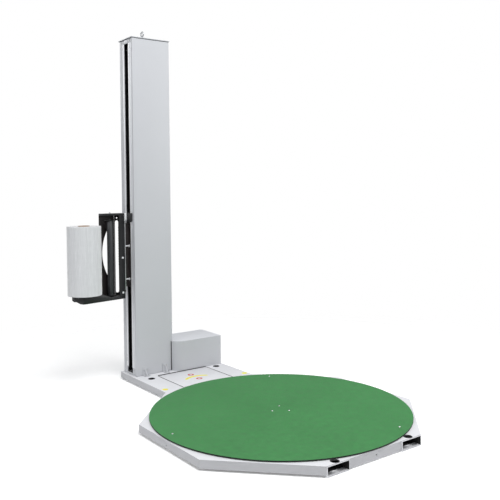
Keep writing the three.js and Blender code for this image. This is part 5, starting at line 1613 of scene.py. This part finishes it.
class WRAPPER_OT_studio(bpy.types.Operator):
    """Pale floor, soft lights and the camera"""
    bl_idname = "wrapper.studio"
    bl_label = "Studio"

    def execute(self, context):
        scene = context.scene
        scene.view_settings.view_transform = "Standard"
        self.floor(scene)
        self.world(scene)
        self.lamp(scene, "key", (-0.6, -1.9, 5.4), (0.0, 0.6, 0.6), 3.2, 210)
        self.lamp(scene, "fill", (3.6, -2.4, 2.6), (0.0, 0.8, 1.0), 2.4, 50)
        self.lamp(scene, "left", (-4.6, 0.2, 2.6), (-0.3, 1.2, 1.6), 2.4, 40)
        self.lamp(scene, "rear", (-1.0, 5.5, 3.6), (0.0, 1.0, 1.0), 2.6, 45)
        self.camera(scene)
        return {"FINISHED"}

    def floor(self, scene):
        bm = bmesh.new()
        radii = (0.0, 1.5, 3.0, 4.5, 6.0, 8.0)
        centre = Vector((0, 0.4, -0.0005))
        rings = [[centre + Vector((r * math.cos(t), r * math.sin(t), 0)) for t in
                  (2 * math.pi * i / 96 for i in range(96))] for r in radii[1:]]
        rows = skin(bm, rings, caps=False)
        bm.faces.new(rows[0])
        bmesh.ops.recalc_face_normals(bm, faces=bm.faces)
        mesh = bpy.data.meshes.new("floor")
        bm.to_mesh(mesh)
        bm.free()
        mesh.flip_normals()
        if mesh.polygons[0].normal.z < 0:
            mesh.flip_normals()
        floor = bpy.data.objects.new("floor", mesh)
        material, w, shader = blank("Studio floor")
        coords = w.add("ShaderNodeTexCoord").outputs["Object"]
        middle_point = w.add("ShaderNodeVectorMath", {0: coords, 1: tuple(centre)}, operation="SUBTRACT")
        away = w.add("ShaderNodeVectorMath", {0: middle_point.outputs[0]},
                     operation="LENGTH").outputs["Value"]
        w.links.new(w.remap(away, 1.4, 3.6, 1.0, 0.0), shader.inputs["Alpha"])
        shade = w.remap(w.noise(coords, 3.0, 4), 0.3, 0.7, 0.995, 1.0)
        w.links.new(w.tinted((0.97, 0.97, 0.97, 1), shade), shader.inputs["Base Color"])
        seen = w.add("ShaderNodeLightPath").outputs["Is Camera Ray"]
        w.links.new(w.math("MULTIPLY", seen, 0.2), shader.inputs["Emission Strength"])
        shader.inputs["Emission Color"].default_value = (1, 1, 1, 1)
        shader.inputs["Roughness"].default_value = 0.85
        shader.inputs["Specular IOR Level"].default_value = 0.2
        mesh.materials.append(material)
        scene.collection.objects.link(floor)

    def world(self, scene):
        world = bpy.data.worlds.new("studio")
        world.use_nodes = True
        scene.world = world
        nodes, links = world.node_tree.nodes, world.node_tree.links
        nodes.clear()
        w = Wiring(nodes, links)
        seen = w.add("ShaderNodeLightPath").outputs["Is Camera Ray"]
        lit = w.add("ShaderNodeBackground", {"Color": (0.97, 0.985, 1.0, 1), "Strength": 0.46})
        backdrop = w.add("ShaderNodeBackground", {"Color": (1, 1, 1, 1), "Strength": 1.0})
        mix = w.add("ShaderNodeMixShader", {0: seen})
        links.new(lit.outputs[0], mix.inputs[1])
        links.new(backdrop.outputs[0], mix.inputs[2])
        links.new(mix.outputs[0], w.add("ShaderNodeOutputWorld").inputs["Surface"])

    def lamp(self, scene, name, place, target, width, power):
        data = bpy.data.lights.new(name, "AREA")
        data.shape = "DISK"
        data.size = width
        data.energy = power
        obj = bpy.data.objects.new(name, data)
        obj.location = place
        obj.rotation_euler = (Vector(target) - Vector(place)).to_track_quat("-Z", "Y").to_euler()
        scene.collection.objects.link(obj)

    def camera(self, scene):
        place = (-2.7098, -3.3498, 1.4722)
        yaw, pitch, roll = (math.radians(a) for a in (36.572, 1.771, -0.527))
        forward = Vector((math.sin(yaw) * math.cos(pitch), math.cos(yaw) * math.cos(pitch), -math.sin(pitch)))
        right = Vector((math.cos(yaw), -math.sin(yaw), 0))
        up = right.cross(forward)
        cos, sin = math.cos(roll), math.sin(roll)
        right, up = cos * right + sin * up, cos * up - sin * right
        data = bpy.data.cameras.new("camera")
        data.lens = 49.197
        data.sensor_width = 36
        data.shift_y = -0.08
        data.clip_end = 60
        obj = bpy.data.objects.new("camera", data)
        basis = Matrix((right, up, -forward)).transposed().to_4x4()
        obj.matrix_world = Matrix.Translation(place) @ basis
        scene.collection.objects.link(obj)
        scene.camera = obj


OPERATORS = (WRAPPER_OT_base, WRAPPER_OT_deck, WRAPPER_OT_turntable, WRAPPER_OT_table_drive,
             WRAPPER_OT_drive_cover, WRAPPER_OT_column, WRAPPER_OT_lift_drive, WRAPPER_OT_cabinet,
             WRAPPER_OT_carriage, WRAPPER_OT_film, WRAPPER_OT_studio)


class WRAPPER_PT_panel(bpy.types.Panel):
    """Lists the pieces of the pallet wrapper"""
    bl_idname = "WRAPPER_PT_panel"
    bl_label = "Pallet wrapper"
    bl_space_type = "VIEW_3D"
    bl_region_type = "UI"
    bl_category = "Pallet wrapper"

    def draw(self, context):
        layout = self.layout
        for group in (context.scene.wrapper_sizes, context.scene.wrapper_colours):
            for name in group.__annotations__:
                layout.prop(group, name)
        for kind in OPERATORS:
            layout.operator(kind.bl_idname)


CLASSES = (WrapperSizes, WrapperColours) + OPERATORS + (WRAPPER_PT_panel,)


def register():
    for kind in CLASSES:
        bpy.utils.register_class(kind)
    bpy.types.Scene.wrapper_sizes = PointerProperty(type=WrapperSizes)
    bpy.types.Scene.wrapper_colours = PointerProperty(type=WrapperColours)


def unregister():
    del bpy.types.Scene.wrapper_colours
    del bpy.types.Scene.wrapper_sizes
    for kind in reversed(CLASSES):
        bpy.utils.unregister_class(kind)


def main():
    register()
    for kind in OPERATORS:
        group, action = kind.bl_idname.split(".")
        getattr(getattr(bpy.ops, group), action)()


if __name__ == "__main__":
    main()
